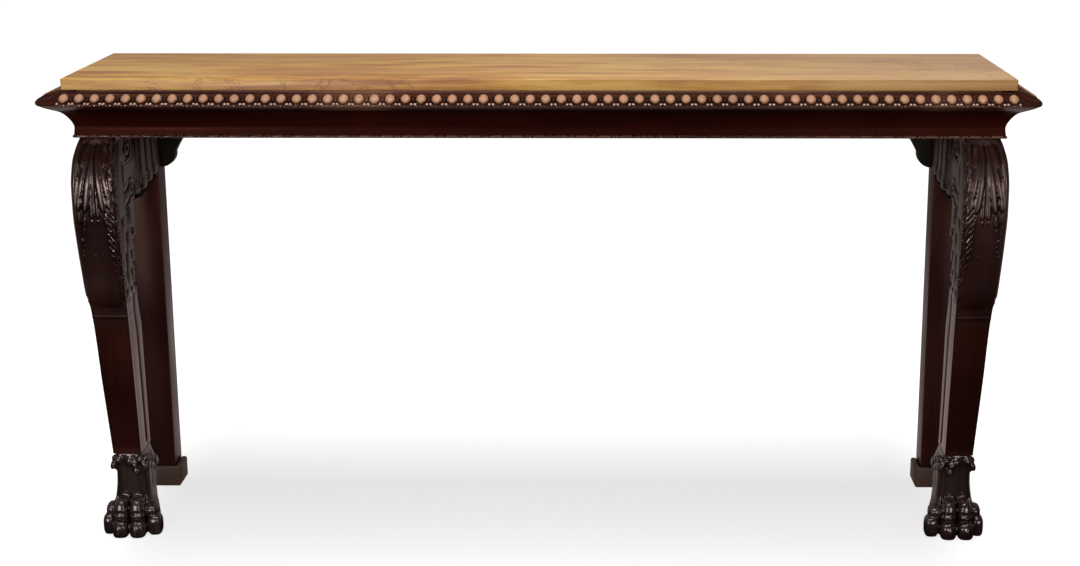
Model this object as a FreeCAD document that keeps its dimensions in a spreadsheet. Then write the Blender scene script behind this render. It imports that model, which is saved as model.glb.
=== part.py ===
"""Mahogany pier table with a loose marble slab.

Frame: +X to the viewer's right, +Y to the wall, +Z up. The origin is on the floor, under the
middle of the table. Lengths are in millimetres. A pair of pieces is modelled on the +X side,
called right, and mirrored for the left.
"""

import FreeCAD, Part
import os

import Sketcher

# Driving dimensions: cell alias, value, meaning.
SIZES = [
    ("table_height", 915, "floor to the polished face of the marble"),
    ("marble_width", 1782, "marble, left to right"),
    ("marble_depth", 381, "marble, front to wall"),
    ("marble_thickness", 22, "marble slab"),
    ("marble_arris", 1.5, "eased edge round the top of the marble"),
    ("nose_reach", 39, "nose of the edge moulding, out from the marble edge"),
    ("edge_height", 36, "edge moulding, marble seat down to the frieze"),
    ("edge_flat", 4, "flat of the edge moulding outside the marble"),
    ("ovolo_drop", 21, "fall of the ovolo that carries the eggs"),
    ("ovolo_quirk", 2, "step between the ovolo and the nose"),
    ("ovolo_crown", 4.5, "swell of the ovolo outside its chord"),
    ("nose_height", 8, "upright face of the nose"),
    ("nose_ease", 2, "chamfer under the nose"),
    ("facing_depth", 30, "marble edge in to the face of the rails"),
    ("frieze_height", 50, "hollow frieze board"),
    ("frieze_neck", 16.5, "neck of the hollow, behind the marble edge"),
    ("frieze_neck_rise", 15, "neck of the hollow above the foot of the board"),
    ("frieze_foot", 15, "foot of the frieze board, behind the marble edge"),
    ("hollow_lift", 33, "middle of the hollow above the foot of the board"),
    ("hollow_back", 12, "middle of the hollow behind the marble edge"),
    ("bead_height", 6, "bead under the frieze"),
    ("bead_setback", 12.5, "nose of the bead, behind the marble edge"),
    ("bead_swell", 1.6, "roundness of the bead"),
    ("frame_setback", 10, "back of the frame, in from the back of the marble"),
    ("rail_thickness", 26, "rails of the frame"),
    ("tenon_length", 35, "rail tenons"),
    ("tenon_thickness", 10, "rail tenons"),
    ("tenon_shoulder", 11, "rail edge to tenon edge"),
    ("fit_gap", 0.15, "room round tenons, dowels, pegs and screws"),
    ("peg_radius", 4, "pegs across the tenons"),
    ("peg_length", 45, "pegs across the tenons"),
    ("peg_setback", 17, "peg to tenon shoulder"),
    ("long_peg_spread", 22, "pegs of the front and back rails, above and below the middle"),
    ("side_peg_spread", 10, "pegs of the side rails, above and below the middle"),
    ("bearer_width", 60, "cross bearers under the marble"),
    ("bearer_height", 35, "cross bearers under the marble"),
    ("bearer_housing", 12, "cross bearers let into the rails"),
    ("bearer_pitch", 445, "between cross bearers"),
    ("screw_radius", 2.2, "bearer screws"),
    ("screw_head_radius", 4.5, "bearer screws"),
    ("screw_head_height", 3, "bearer screws"),
    ("screw_length", 56, "bearer screws"),
    ("screw_slot", 1, "slot in a screw head"),
    ("block_leg", 38, "arms of the three-cornered glue blocks"),
    ("block_height", 70, "glue blocks"),
    ("block_nip", 5, "blunted corners of the glue blocks"),
    ("leg_setback", 91, "inner face of the front legs, in from the marble edge"),
    ("stump_depth", 75, "leg stump inside the frame, front to back"),
    ("leg_top_width", 70, "front leg under the frieze"),
    ("knee_width", 81, "front leg at the knee"),
    ("knee_drop", 92, "knee below the frieze"),
    ("calf_width", 80, "front leg where it starts to taper"),
    ("calf_drop", 195, "start of the taper below the frieze"),
    ("leaf_width", 74, "front leg at the foot of the carved leaf"),
    ("leaf_drop", 320, "foot of the carved leaf below the frieze"),
    ("shank_width", 69.8, "top of the plain shank"),
    ("shank_drop", 333, "top of the plain shank below the frieze"),
    ("ankle_width", 54.5, "bottom of the plain shank"),
    ("ankle_taper", 4, "inner face at the ankle, in towards the middle of the leg"),
    ("leg_top_front", 14, "front of the leg under the frieze, behind the marble edge"),
    ("knee_front", -10, "front of the knee, behind the marble edge"),
    ("calf_front", -2, "front of the leg where it starts to taper, behind the marble edge"),
    ("leaf_front", 18, "front of the leaf foot, behind the marble edge"),
    ("shank_front", 24, "front of the top of the shank, behind the marble edge"),
    ("shank_mid_front", 37, "front of the shank half way, behind the marble edge"),
    ("ankle_front", 44, "front of the ankle, behind the marble edge"),
    ("ankle_depth", 84, "ankle, front to back"),
    ("hock_back", 131, "back of the shank at the hock, behind the marble edge"),
    ("hock_drop", 395, "hock below the frieze"),
    ("shank_back", 114, "back of the top of the shank, behind the marble edge"),
    ("ham_back", 124, "back of the leg between knee and shank, behind the marble edge"),
    ("ham_drop", 250, "middle of the curve behind the knee, below the frieze"),
    ("leg_back", 150, "back of the leg block, behind the marble edge"),
    ("leg_back_drop", 185, "foot of the leg block's straight back below the frieze"),
    ("paw_height", 163, "floor to the joint above the collar"),
    ("collar_height", 24, "ragged collar"),
    ("collar_swell", 5, "collar beyond the ankle"),
    ("waist_height", 100, "slimmest part of the ankle above the floor"),
    ("waist_in", 4, "waist of the ankle inside the ankle faces"),
    ("ankle_bulge", 8, "paw's ankle beyond the shank on its inner side"),
    ("paw_top", 85, "where the ankle spreads into the paw"),
    ("paw_spread", 25, "paw beyond the ankle on each side"),
    ("paw_swell", 20, "paw beyond the ankle at half the height of the paw"),
    ("paw_heel", 10, "heel beyond the back of the ankle"),
    ("heel_height", 28, "fullest part of the heel above the floor"),
    ("heel_width", 66, "heel, side to side"),
    ("heel_taper", 50, "back of the paw, where it narrows to the heel"),
    ("pad_reach", 22, "body of the paw ahead of the ankle, behind the toes"),
    ("toe_reach", 45, "toe tips ahead of the ankle"),
    ("toe_width", 34, "middle toes"),
    ("toe_shift", 2.4, "cleft of the middle toes, in from the middle of the ankle"),
    ("inner_toe_width", 28, "toe on the inner side"),
    ("outer_toe_width", 23, "toe on the outer side"),
    ("outer_toe_setback", 22, "outer toes behind the middle ones"),
    ("toe_rise", 12, "middle of the toe tips above the floor"),
    ("toe_overlap", 2, "toe segments into each other, side by side"),
    ("knuckle_rise", 25, "each knuckle above the one before"),
    ("knuckle_setback", 11, "each knuckle behind the one before"),
    ("knuckle_taper", 3, "each knuckle slimmer than the one before"),
    ("knuckle_splay", 3, "each knuckle nearer the middle than the one before"),
    ("dowel_radius", 12, "dowel that joins paw and leg"),
    ("dowel_length", 100, "dowel that joins paw and leg"),
    ("wing_proud", 8, "wing beyond the inner face of the leg"),
    ("wing_reach", 150, "wing behind the leg"),
    ("wing_drop", 146, "front end of the wing's lower edge, below the frieze"),
    ("wing_belly", 55, "middle of the wing's lower edge, behind the leg"),
    ("wing_belly_drop", 137, "middle of the wing's lower edge, below the frieze"),
    ("wing_foot_drop", 127, "back end of the wing's lower edge, below the frieze"),
    ("wing_round", 18, "rounded lower corner of the wing"),
    ("small_dowel_radius", 4, "dowels of wings and brackets"),
    ("small_dowel_length", 40, "dowels of wings and brackets"),
    ("back_leg_setback", 96, "inner face of the back legs, in from the marble edge"),
    ("back_leg_depth", 60, "back legs, front to wall"),
    ("plinth_height", 44, "plinth round the back legs"),
    ("plinth_thickness", 12, "plinth strips"),
    ("plinth_ease", 3, "chamfer on top of the plinth"),
    ("bracket_reach", 90, "back bracket along the rail"),
    ("bracket_drop", 117, "back bracket down the leg"),
    ("bracket_waist_drop", 85, "turn of the back bracket's curve below the rail"),
    ("bracket_waist", 29, "turn of the back bracket's curve, out from the leg"),
    ("bracket_hollow", 2.9, "hollow of the back bracket's curve under the rail, inside its chord"),
    ("bracket_full_out", 9.7, "fullest part of the curve beside the leg, out from the turn"),
    ("bracket_full_rise", 7.3, "fullest part of the curve beside the leg, above its foot"),
    ("bracket_thickness", 24, "back bracket"),
    ("bracket_setback", 2, "back bracket in from the back of the rail"),
]

BEARER_SIDES = {"bearer_left": -1, "bearer_middle": 0, "bearer_right": 1}
TOE_SEGMENTS = 3
ROUND_SHARE = 0.3  # middle of a rounded corner, in from both its sides, to its radius
PLAN_MARGIN = 5  # mitre outlines reach this far past the moulding, so that no two faces coincide

doc = FreeCAD.newDocument("pier_table")
sheet = doc.addObject("Spreadsheet::Sheet", "sizes")
nodes = []


class Size:
    """A length that carries its value and its formula in the sheet's cells."""

    def __init__(self, value, formula):
        self.value = value
        self.formula = formula

    def __add__(self, other):
        other = as_size(other)
        return Size(self.value + other.value, f"({self.formula} + {other.formula})")

    def __sub__(self, other):
        other = as_size(other)
        return Size(self.value - other.value, f"({self.formula} - {other.formula})")

    def __mul__(self, other):
        other = as_size(other)
        return Size(self.value * other.value, f"({self.formula} * {other.formula})")

    def __truediv__(self, other):
        other = as_size(other)
        return Size(self.value / other.value, f"({self.formula} / {other.formula})")

    def __neg__(self):
        return as_size(0) - self


def as_size(number):
    """A Size for a plain number, or the Size itself."""
    return number if isinstance(number, Size) else Size(number, f"({number})")


def fill_sheet():
    """Write the driving dimensions into the sheet and return them by alias."""
    cells = {}
    for row, (alias, value, meaning) in enumerate(SIZES, start=1):
        sheet.set(f"A{row}", meaning)
        sheet.set(f"B{row}", str(value))
        sheet.setAlias(f"B{row}", alias)
        cells[alias] = Size(value, f"sizes.{alias}")
    doc.recompute()
    return cells


S = fill_sheet()

# Levels.
SEAT = S["table_height"] - S["marble_thickness"]
FRIEZE_TOP = SEAT - S["edge_height"]
FRIEZE_FOOT = FRIEZE_TOP - S["frieze_height"]
FRAME_FOOT = FRIEZE_FOOT - S["bead_height"]
RAIL_HEIGHT = SEAT - FRAME_FOOT
RAIL_MIDDLE = FRAME_FOOT + RAIL_HEIGHT / 2

# Upright planes.
EDGE_X = S["marble_width"] / 2
FRONT = (S["nose_reach"] - S["marble_depth"]) / 2
MARBLE_BACK = FRONT + S["marble_depth"]
FRAME_BACK = MARBLE_BACK - S["frame_setback"]
RAIL_X = EDGE_X - S["facing_depth"]
RAIL_INNER_X = RAIL_X - S["rail_thickness"]
RAIL_FRONT = FRONT + S["facing_depth"]
RAIL_FRONT_INNER = RAIL_FRONT + S["rail_thickness"]
RAIL_BACK_INNER = FRAME_BACK - S["rail_thickness"]
LEG_X = EDGE_X - S["leg_setback"]
STUMP_BACK = RAIL_FRONT + S["stump_depth"]
BACK_LEG_X = EDGE_X - S["back_leg_setback"]
BACK_LEG_FRONT = FRAME_BACK - S["back_leg_depth"]
TENON_INSET = (S["rail_thickness"] - S["tenon_thickness"]) / 2
TENON_FOOT = FRAME_FOOT + S["tenon_shoulder"]
TENON_HEIGHT = RAIL_HEIGHT - S["tenon_shoulder"] * 2


def bind(thing, settings):
    """Bind properties of a document object to formulas."""
    for path, size in settings.items():
        thing.setExpression(path, as_size(size).formula)
    return thing


def node(label, thing):
    """Give a finished object its node's name."""
    thing.Label = label
    nodes.append(thing)
    return thing


def box(name, low, high):
    """A box between two corners."""
    thing = doc.addObject("Part::Box", name)
    size = [as_size(b) - a for a, b in zip(low, high)]
    bind(thing, {"Length": size[0], "Width": size[1], "Height": size[2]})
    return place(thing, low)


def place(thing, corner, rotation=None):
    """Bind an object's position, and turn it if a rotation is given."""
    if rotation:
        thing.Placement = FreeCAD.Placement(FreeCAD.Vector(), rotation)
    paths = ("Placement.Base.x", "Placement.Base.y", "Placement.Base.z")
    return bind(thing, dict(zip(paths, corner)))


def rod(name, start, axis, radius, length):
    """A round rod from start, along +axis."""
    thing = doc.addObject("Part::Cylinder", name)
    bind(thing, {"Radius": radius, "Height": length})
    return place(thing, start, FreeCAD.Rotation(FreeCAD.Vector(0, 0, 1), axis))


ALONG_X = FreeCAD.Vector(1, 0, 0)
ALONG_Y = FreeCAD.Vector(0, 1, 0)
ALONG_Z = FreeCAD.Vector(0, 0, 1)


def join(name, things):
    """Fuse objects into one solid."""
    thing = doc.addObject("Part::MultiFuse", name)
    thing.Shapes = things
    thing.Refine = True
    return thing


def group(name, things):
    """Keep objects together as separate solids."""
    thing = doc.addObject("Part::Compound", name)
    thing.Links = things
    return thing


def cut(name, base, tools):
    """Take tools away from a base."""
    thing = doc.addObject("Part::Cut", name)
    thing.Base = base
    thing.Tool = tools[0] if len(tools) == 1 else group(f"{name}_tools", tools)
    return thing


def common(name, first, second):
    """Keep what two objects share, as when a blank is sawn to two patterns."""
    thing = doc.addObject("Part::Common", name)
    thing.Base = first
    thing.Tool = second
    return thing


def mirror(name, source):
    """The same object on the other side of the table."""
    thing = doc.addObject("Part::Mirroring", name)
    thing.Source = source
    thing.Normal = FreeCAD.Vector(1, 0, 0)
    return thing


def pair(label, right):
    """Name a right-hand piece and make its left-hand twin."""
    node(f"{label}_right", right)
    return node(f"{label}_left", mirror(f"{label}_twin", right))


class Via(tuple):
    """A point on the way of an arc, between two corners of an outline."""


def vector(point):
    return FreeCAD.Vector(point[0].value, point[1].value, 0)


def pin(sketch, geometry, position, point):
    """Hold a sketch point at its place, bound to formulas."""
    for kind, size in zip(("DistanceX", "DistanceY"), point):
        constraint = Sketcher.Constraint(kind, -1, 1, geometry, position, size.value)
        index = sketch.addConstraint(constraint)
        sketch.setExpression(f"Constraints[{index}]", size.formula)


def draw(sketch, outline):
    """Draw a closed outline of lines and three-point arcs."""
    points = [type(p)(as_size(c) for c in p) for p in outline]
    edges = []
    for index, point in enumerate(points):
        if isinstance(point, Via):
            continue
        following = points[(index + 1) % len(points)]
        if not isinstance(following, Via):
            edge = sketch.addGeometry(Part.LineSegment(vector(point), vector(following)))
            edges.append((edge, 1, 2))
            continue
        end = points[(index + 2) % len(points)]
        arc = Part.Arc(vector(point), vector(following), vector(end))
        edge = sketch.addGeometry(arc)
        forward = sketch.getPoint(edge, 1).distanceToPoint(vector(point)) < 0.001
        edges.append((edge, 1, 2) if forward else (edge, 2, 1))
        middle = sketch.addGeometry(Part.Point(vector(following)), True)
        sketch.addConstraint(Sketcher.Constraint("PointOnObject", middle, 1, edge))
        pin(sketch, middle, 1, following)
    corners = [p for p in points if not isinstance(p, Via)]
    for number, (edge, start, end) in enumerate(edges):
        next_edge, next_start, _ = edges[(number + 1) % len(edges)]
        joint = Sketcher.Constraint("Coincident", edge, end, next_edge, next_start)
        sketch.addConstraint(joint)
        pin(sketch, edge, start, corners[number])


def slab(name, plane, outline, low, high):
    """A body padded from an outline, between low and high along the plane's axis."""
    body = doc.addObject("PartDesign::Body", name)
    sketch = body.newObject("Sketcher::SketchObject", f"{name}_outline")
    base = [f for f in body.Origin.OriginFeatures if f.Role == plane][0]
    sketch.AttachmentSupport = (base, [""])
    sketch.MapMode = "FlatFace"
    draw(sketch, outline)
    # The XZ plane faces -Y, so its sketch stands at the far end and the pad comes forward.
    offset = -as_size(high) if plane == "XZ_Plane" else low
    bind(sketch, {"AttachmentOffset.Base.z": offset})
    pad = body.newObject("PartDesign::Pad", f"{name}_pad")
    pad.Profile = sketch
    bind(pad, {"Length": as_size(high) - low})
    return body


# Edge moulding, frieze and bead: one outline each, given outwards from the marble edge.


def edge_outline(out):
    """Flat, ovolo, quirk, nose and sloping soffit."""
    nose_top = SEAT - S["ovolo_drop"]
    nose_foot = nose_top - S["nose_height"]
    ovolo_end = S["nose_reach"] - S["ovolo_quirk"]
    half_run = (S["edge_flat"] + ovolo_end) / 2
    half_drop = SEAT - S["ovolo_drop"] / 2
    return [
        (out(-S["facing_depth"]), FRIEZE_TOP),
        (out(-S["facing_depth"]), SEAT),
        (out(S["edge_flat"]), SEAT),
        Via((out(half_run + S["ovolo_crown"] / 2), half_drop + S["ovolo_crown"])),
        (out(ovolo_end), nose_top),
        (out(S["nose_reach"]), nose_top),
        (out(S["nose_reach"]), nose_foot),
        (out(S["nose_reach"] - S["nose_ease"]), nose_foot - S["nose_ease"]),
        (out(as_size(0)), FRIEZE_TOP),
    ]


def frieze_outline(out):
    """A hollow that sweeps out under the edge moulding."""
    return [
        (out(-S["facing_depth"]), FRIEZE_FOOT),
        (out(-S["facing_depth"]), FRIEZE_TOP),
        (out(as_size(0)), FRIEZE_TOP),
        Via((out(-S["hollow_back"]), FRIEZE_FOOT + S["hollow_lift"])),
        (out(-S["frieze_neck"]), FRIEZE_FOOT + S["frieze_neck_rise"]),
        (out(-S["frieze_foot"]), FRIEZE_FOOT),
    ]


def bead_outline(out):
    """A small astragal."""
    shoulder = -S["bead_setback"] - S["bead_swell"]
    return [
        (out(-S["facing_depth"]), FRAME_FOOT),
        (out(-S["facing_depth"]), FRIEZE_FOOT),
        (out(shoulder), FRIEZE_FOOT),
        Via((out(-S["bead_setback"]), FRAME_FOOT + S["bead_height"] / 2)),
        (out(shoulder), FRAME_FOOT),
    ]


def facing(label, outline):
    """One moulding: a front length and two side lengths, mitred at the front corners."""
    inner = S["facing_depth"] + PLAN_MARGIN
    outer = S["nose_reach"] + PLAN_MARGIN
    low = FRAME_FOOT - PLAN_MARGIN
    high = SEAT + PLAN_MARGIN
    front_plan = [
        (EDGE_X - inner, FRONT + inner),
        (EDGE_X + outer, FRONT - outer),
        (-(EDGE_X + outer), FRONT - outer),
        (-(EDGE_X - inner), FRONT + inner),
    ]
    side_plan = [
        (EDGE_X - inner, FRONT + inner),
        (EDGE_X + outer, FRONT - outer),
        (EDGE_X + outer, FRAME_BACK + PLAN_MARGIN),
        (EDGE_X - inner, FRAME_BACK + PLAN_MARGIN),
    ]
    run = slab(f"{label}_front_run", "YZ_Plane", outline(lambda p: FRONT - p),
               -(EDGE_X + outer), EDGE_X + outer)
    plan = slab(f"{label}_front_plan", "XY_Plane", front_plan, low, high)
    node(f"{label}_front", common(f"{label}_front_cut", run, plan))
    run = slab(f"{label}_side_run", "XZ_Plane", outline(lambda p: EDGE_X + p),
               FRONT - outer, FRAME_BACK)
    plan = slab(f"{label}_side_plan", "XY_Plane", side_plan, low, high)
    pair(label, common(f"{label}_side_cut", run, plan))


def marble_slab():
    """The loose marble top, with its top edges eased."""
    outline = [(-EDGE_X, FRONT), (EDGE_X, FRONT), (EDGE_X, MARBLE_BACK), (-EDGE_X, MARBLE_BACK)]
    body = slab("marble", "XY_Plane", outline, SEAT, S["table_height"])
    doc.recompute()
    pad = body.Tip
    top = max(range(len(pad.Shape.Faces)), key=lambda i: pad.Shape.Faces[i].CenterOfMass.z)
    ease = body.newObject("PartDesign::Chamfer", "marble_ease")
    ease.Base = (pad, [f"Face{top + 1}"])
    bind(ease, {"Size": S["marble_arris"]})
    return node("marble_top", body)


# Pegs and dowels: the same rod is made twice, as the piece and, wider, as its hole.


def long_rail_peg(name, y, height, radius):
    """A peg through the right-hand tenon of the front or the back rail, along Y."""
    inner = LEG_X if y is RAIL_FRONT else BACK_LEG_X
    start = y if y is RAIL_FRONT else y - S["peg_length"]
    where = (inner + S["peg_setback"], start, height)
    return rod(name, where, ALONG_Y, radius, S["peg_length"])


def side_rail_peg(name, end, height, radius):
    """A peg through a tenon of the right-hand side rail, along X."""
    y = STUMP_BACK - S["peg_setback"] if end == "front" else BACK_LEG_FRONT + S["peg_setback"]
    where = (RAIL_X - S["peg_length"], y, height)
    return rod(name, where, ALONG_X, radius, S["peg_length"])


def corner_pegs(name, end, radius):
    """The four pegs of one right-hand corner: two of the long rail and two of the side rail."""
    y = RAIL_FRONT if end == "front" else FRAME_BACK
    long_spread = S["long_peg_spread"]
    side_spread = S["side_peg_spread"]
    return [
        long_rail_peg(f"{name}_long_low", y, RAIL_MIDDLE - long_spread, radius),
        long_rail_peg(f"{name}_long_high", y, RAIL_MIDDLE + long_spread, radius),
        side_rail_peg(f"{name}_side_low", end, RAIL_MIDDLE - side_spread, radius),
        side_rail_peg(f"{name}_side_high", end, RAIL_MIDDLE + side_spread, radius),
    ]


def tenon_pegs():
    """Sixteen oak pegs, four at each corner."""
    right = []
    for end in ("front", "back"):
        right += corner_pegs(f"peg_{end}", end, S["peg_radius"])
    twins = [mirror(f"{peg.Name}_twin", peg) for peg in right]
    return node("tenon_pegs", group("peg_group", right + twins))


def peg_holes(name, end):
    """Room for the pegs of one corner."""
    return corner_pegs(name, end, S["peg_radius"] + S["fit_gap"])


def long_tenon(name, rail_front, reach, gap):
    """A bar that is the tenons of a long rail, or with a gap their mortises."""
    low_y = rail_front + TENON_INSET
    return box(
        name,
        (-(reach + gap), low_y - gap, TENON_FOOT - gap),
        (reach + gap, low_y + S["tenon_thickness"] + gap, TENON_FOOT + TENON_HEIGHT + gap),
    )


def side_tenon(name, gap):
    """A bar that is the tenons of a side rail, or with a gap their mortises."""
    low_x = RAIL_INNER_X + TENON_INSET
    return box(
        name,
        (low_x - gap, STUMP_BACK - S["tenon_length"] - gap, TENON_FOOT - gap),
        (low_x + S["tenon_thickness"] + gap, BACK_LEG_FRONT + S["tenon_length"] + gap,
         TENON_FOOT + TENON_HEIGHT + gap),
    )


def bearer_box(name, side, gap):
    """A cross bearer, or with a gap its housings in the rails."""
    middle = S["bearer_pitch"] * side
    half = S["bearer_width"] / 2
    return box(
        name,
        (middle - half - gap, RAIL_FRONT_INNER - S["bearer_housing"] - gap,
         SEAT - S["bearer_height"] - gap),
        (middle + half + gap, RAIL_BACK_INNER + S["bearer_housing"] + gap, SEAT),
    )


def bearer_screw(name, side, end, gap):
    """A countersunk screw through the end of a bearer, or with a gap its hole."""
    half_housing = S["bearer_housing"] / 2
    y = RAIL_FRONT_INNER - half_housing if end == "front" else RAIL_BACK_INNER + half_housing
    x = S["bearer_pitch"] * side
    head = doc.addObject("Part::Cone", f"{name}_head")
    bind(head, {
        "Radius1": S["screw_radius"] + gap,
        "Radius2": S["screw_head_radius"] + gap,
        "Height": S["screw_head_height"],
    })
    place(head, (x, y, SEAT - S["screw_head_height"]))
    shank = rod(f"{name}_shank", (x, y, SEAT - S["screw_length"] - gap), ALONG_Z,
                S["screw_radius"] + gap, S["screw_length"] + gap)
    return join(name, [head, shank])


def slotted(name, screw, side, end):
    """Saw the slot across a screw's head."""
    half_housing = S["bearer_housing"] / 2
    y = RAIL_FRONT_INNER - half_housing if end == "front" else RAIL_BACK_INNER + half_housing
    x = S["bearer_pitch"] * side
    half = S["screw_slot"] / 2
    reach = S["screw_head_radius"] * 2
    slot = box(f"{name}_slot", (x - reach, y - half, SEAT - S["screw_slot"]),
               (x + reach, y + half, SEAT + S["screw_slot"]))
    return cut(name, screw, [slot])


def bearers():
    """Three cross bearers let into the rails, with a screw at each end."""
    screws = []
    for label, side in BEARER_SIDES.items():
        blank = bearer_box(f"{label}_blank", side, as_size(0))
        holes = []
        for end in ("front", "back"):
            name = f"{label}_{end}"
            holes.append(bearer_screw(f"{name}_hole", side, end, S["fit_gap"]))
            screw = bearer_screw(f"{name}_screw", side, end, as_size(0))
            screws.append(slotted(f"{name}_slotted", screw, side, end))
        node(label, cut(f"{label}_bored", blank, holes))
    return node("bearer_screws", group("screw_group", screws))


def bearer_seats(name, end):
    """Housings and screw holes of the three bearers in one long rail."""
    seats = []
    for label, side in BEARER_SIDES.items():
        seats.append(bearer_box(f"{name}_{label}", side, S["fit_gap"]))
        seats.append(bearer_screw(f"{name}_{label}_hole", side, end, S["fit_gap"]))
    return seats


def long_rail(label, end):
    """The front or the back rail, tenoned into the legs, with seats for the bearers."""
    low_y = RAIL_FRONT if end == "front" else RAIL_BACK_INNER
    reach = LEG_X if end == "front" else BACK_LEG_X
    bar = box(f"{label}_bar", (-reach, low_y, FRAME_FOOT), (reach, low_y + S["rail_thickness"], SEAT))
    tenons = long_tenon(f"{label}_tenons", low_y, reach + S["tenon_length"], as_size(0))
    blank = join(f"{label}_blank", [bar, tenons])
    holes = peg_holes(f"{label}_peg", end)[:2]
    holes += [mirror(f"{hole.Name}_twin", hole) for hole in holes]
    tools = holes + bearer_seats(label, end)
    if end == "back":
        dowels = bracket_dowels("back_rail_dowel", S["fit_gap"])[:1]
        tools += dowels + [mirror("back_rail_dowel_twin", dowels[0])]
    return node(label, cut(f"{label}_cut", blank, tools))


def side_rails():
    """Rails between the front and back legs."""
    bar = box("side_rail_bar", (RAIL_INNER_X, STUMP_BACK, FRAME_FOOT), (RAIL_X, BACK_LEG_FRONT, SEAT))
    blank = join("side_rail_blank", [bar, side_tenon("side_rail_tenons", as_size(0))])
    holes = peg_holes("side_rail_front_peg", "front")[2:] + peg_holes("side_rail_back_peg", "back")[2:]
    holes += wing_dowels("side_rail_dowel", S["fit_gap"])[:1]
    pair("side_rail", cut("side_rail_cut", blank, holes))


def glue_blocks():
    """Three-cornered blocks in the angles of the frame, two at each corner."""
    arm = S["block_leg"]
    nip = S["block_nip"]
    low = RAIL_MIDDLE - S["block_height"] / 2
    high = RAIL_MIDDLE + S["block_height"] / 2

    def corner(x, y, to_x, to_y):
        """Outline with its square corner at x, y and arms towards to_x and to_y."""
        return [
            (x, y),
            (x + arm * to_x, y),
            (x + arm * to_x, y + nip * to_y),
            (x + nip * to_x, y + arm * to_y),
            (x, y + arm * to_y),
        ]

    spots = {
        "front": [(LEG_X, RAIL_FRONT_INNER, -1, 1), (RAIL_INNER_X, STUMP_BACK, -1, 1)],
        "back": [(BACK_LEG_X, RAIL_BACK_INNER, -1, -1), (RAIL_INNER_X, BACK_LEG_FRONT, -1, -1)],
    }
    for end, corners in spots.items():
        blocks = []
        for number, spot in enumerate(corners, start=1):
            name = f"{end}_block_{number}"
            blocks.append(slab(name, "XY_Plane", corner(*spot), low, high))
        pair(f"glue_blocks_{end}", group(f"{end}_block_group", blocks))


# Front legs.


def leg_front_outline():
    """The leg seen from the front: a swelling knee over a shank that leans in."""
    shank_top = FRAME_FOOT - S["shank_drop"]
    leaf_foot = FRAME_FOOT - S["leaf_drop"]
    return [
        (LEG_X, FRAME_FOOT),
        (LEG_X + S["leg_top_width"], FRAME_FOOT),
        Via((LEG_X + S["knee_width"], FRAME_FOOT - S["knee_drop"])),
        (LEG_X + S["calf_width"], FRAME_FOOT - S["calf_drop"]),
        (LEG_X + S["leaf_width"], leaf_foot),
        (LEG_X + S["shank_width"], shank_top),
        (LEG_X - S["ankle_taper"] + S["ankle_width"], S["paw_height"]),
        (LEG_X - S["ankle_taper"], S["paw_height"]),
        (LEG_X, shank_top),
    ]


def leg_side_outline():
    """The leg seen from the side, with a knee that swells forward."""
    shank_top = FRAME_FOOT - S["shank_drop"]
    leaf_foot = FRAME_FOOT - S["leaf_drop"]
    half_shank = (shank_top + S["paw_height"]) / 2
    return [
        (FRONT + S["leg_back"], FRAME_FOOT),
        (FRONT + S["leg_top_front"], FRAME_FOOT),
        Via((FRONT + S["knee_front"], FRAME_FOOT - S["knee_drop"])),
        (FRONT + S["calf_front"], FRAME_FOOT - S["calf_drop"]),
        (FRONT + S["leaf_front"], leaf_foot),
        (FRONT + S["shank_front"], shank_top),
        Via((FRONT + S["shank_mid_front"], half_shank)),
        (FRONT + S["ankle_front"], S["paw_height"]),
        (FRONT + S["ankle_front"] + S["ankle_depth"], S["paw_height"]),
        (FRONT + S["hock_back"], FRAME_FOOT - S["hock_drop"]),
        (FRONT + S["shank_back"], shank_top),
        Via((FRONT + S["ham_back"], FRAME_FOOT - S["ham_drop"])),
        (FRONT + S["leg_back"], FRAME_FOOT - S["leg_back_drop"]),
    ]


def foot_dowel_rod(name, gap):
    """The stout dowel between paw and leg, or with a gap its hole."""
    x = LEG_X - S["ankle_taper"] + S["ankle_width"] / 2
    y = FRONT + S["ankle_front"] + S["ankle_depth"] / 2
    low = S["paw_height"] - S["dowel_length"] / 2
    return rod(name, (x, y, low - gap), ALONG_Z, S["dowel_radius"] + gap,
               S["dowel_length"] + gap * 2)


def front_legs():
    """Knee and shank sawn to two patterns, with a square stump inside the frame."""
    front = slab("leg_front_pattern", "XZ_Plane", leg_front_outline(),
                 FRONT - S["nose_reach"], FRONT + S["leg_back"] + PLAN_MARGIN)
    side = slab("leg_side_pattern", "YZ_Plane", leg_side_outline(),
                LEG_X - S["leg_setback"], LEG_X + S["leg_setback"] + PLAN_MARGIN)
    limb = common("leg_limb", front, side)
    stump = box("leg_stump", (LEG_X, RAIL_FRONT, FRAME_FOOT), (RAIL_X, STUMP_BACK, SEAT))
    gap = S["fit_gap"]
    tools = peg_holes("leg_peg", "front")
    tools.append(long_tenon("leg_long_mortise", RAIL_FRONT, LEG_X + S["tenon_length"], gap))
    tools.append(side_tenon("leg_side_mortise", gap))
    tools.append(foot_dowel_rod("leg_dowel_hole", gap))
    tools.append(wing_dowels("leg_wing_dowel", gap)[1])
    pair("front_leg", cut("front_leg_cut", join("leg_blank", [limb, stump]), tools))


# Wings: carved ears behind the knees, under the side rails.


def wing_outline():
    """A block against the back of the leg, with a lower edge that rises to the back."""
    start = FRONT + S["leg_back"]
    end = start + S["wing_reach"]
    foot = FRAME_FOOT - S["wing_foot_drop"]
    corner = S["wing_round"]
    return [
        (start, FRAME_FOOT),
        (start, FRAME_FOOT - S["wing_drop"]),
        Via((start + S["wing_belly"], FRAME_FOOT - S["wing_belly_drop"])),
        (end - corner, foot),
        Via((end - corner * ROUND_SHARE, foot + corner * ROUND_SHARE)),
        (end, foot + corner),
        (end, FRAME_FOOT),
    ]


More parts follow.
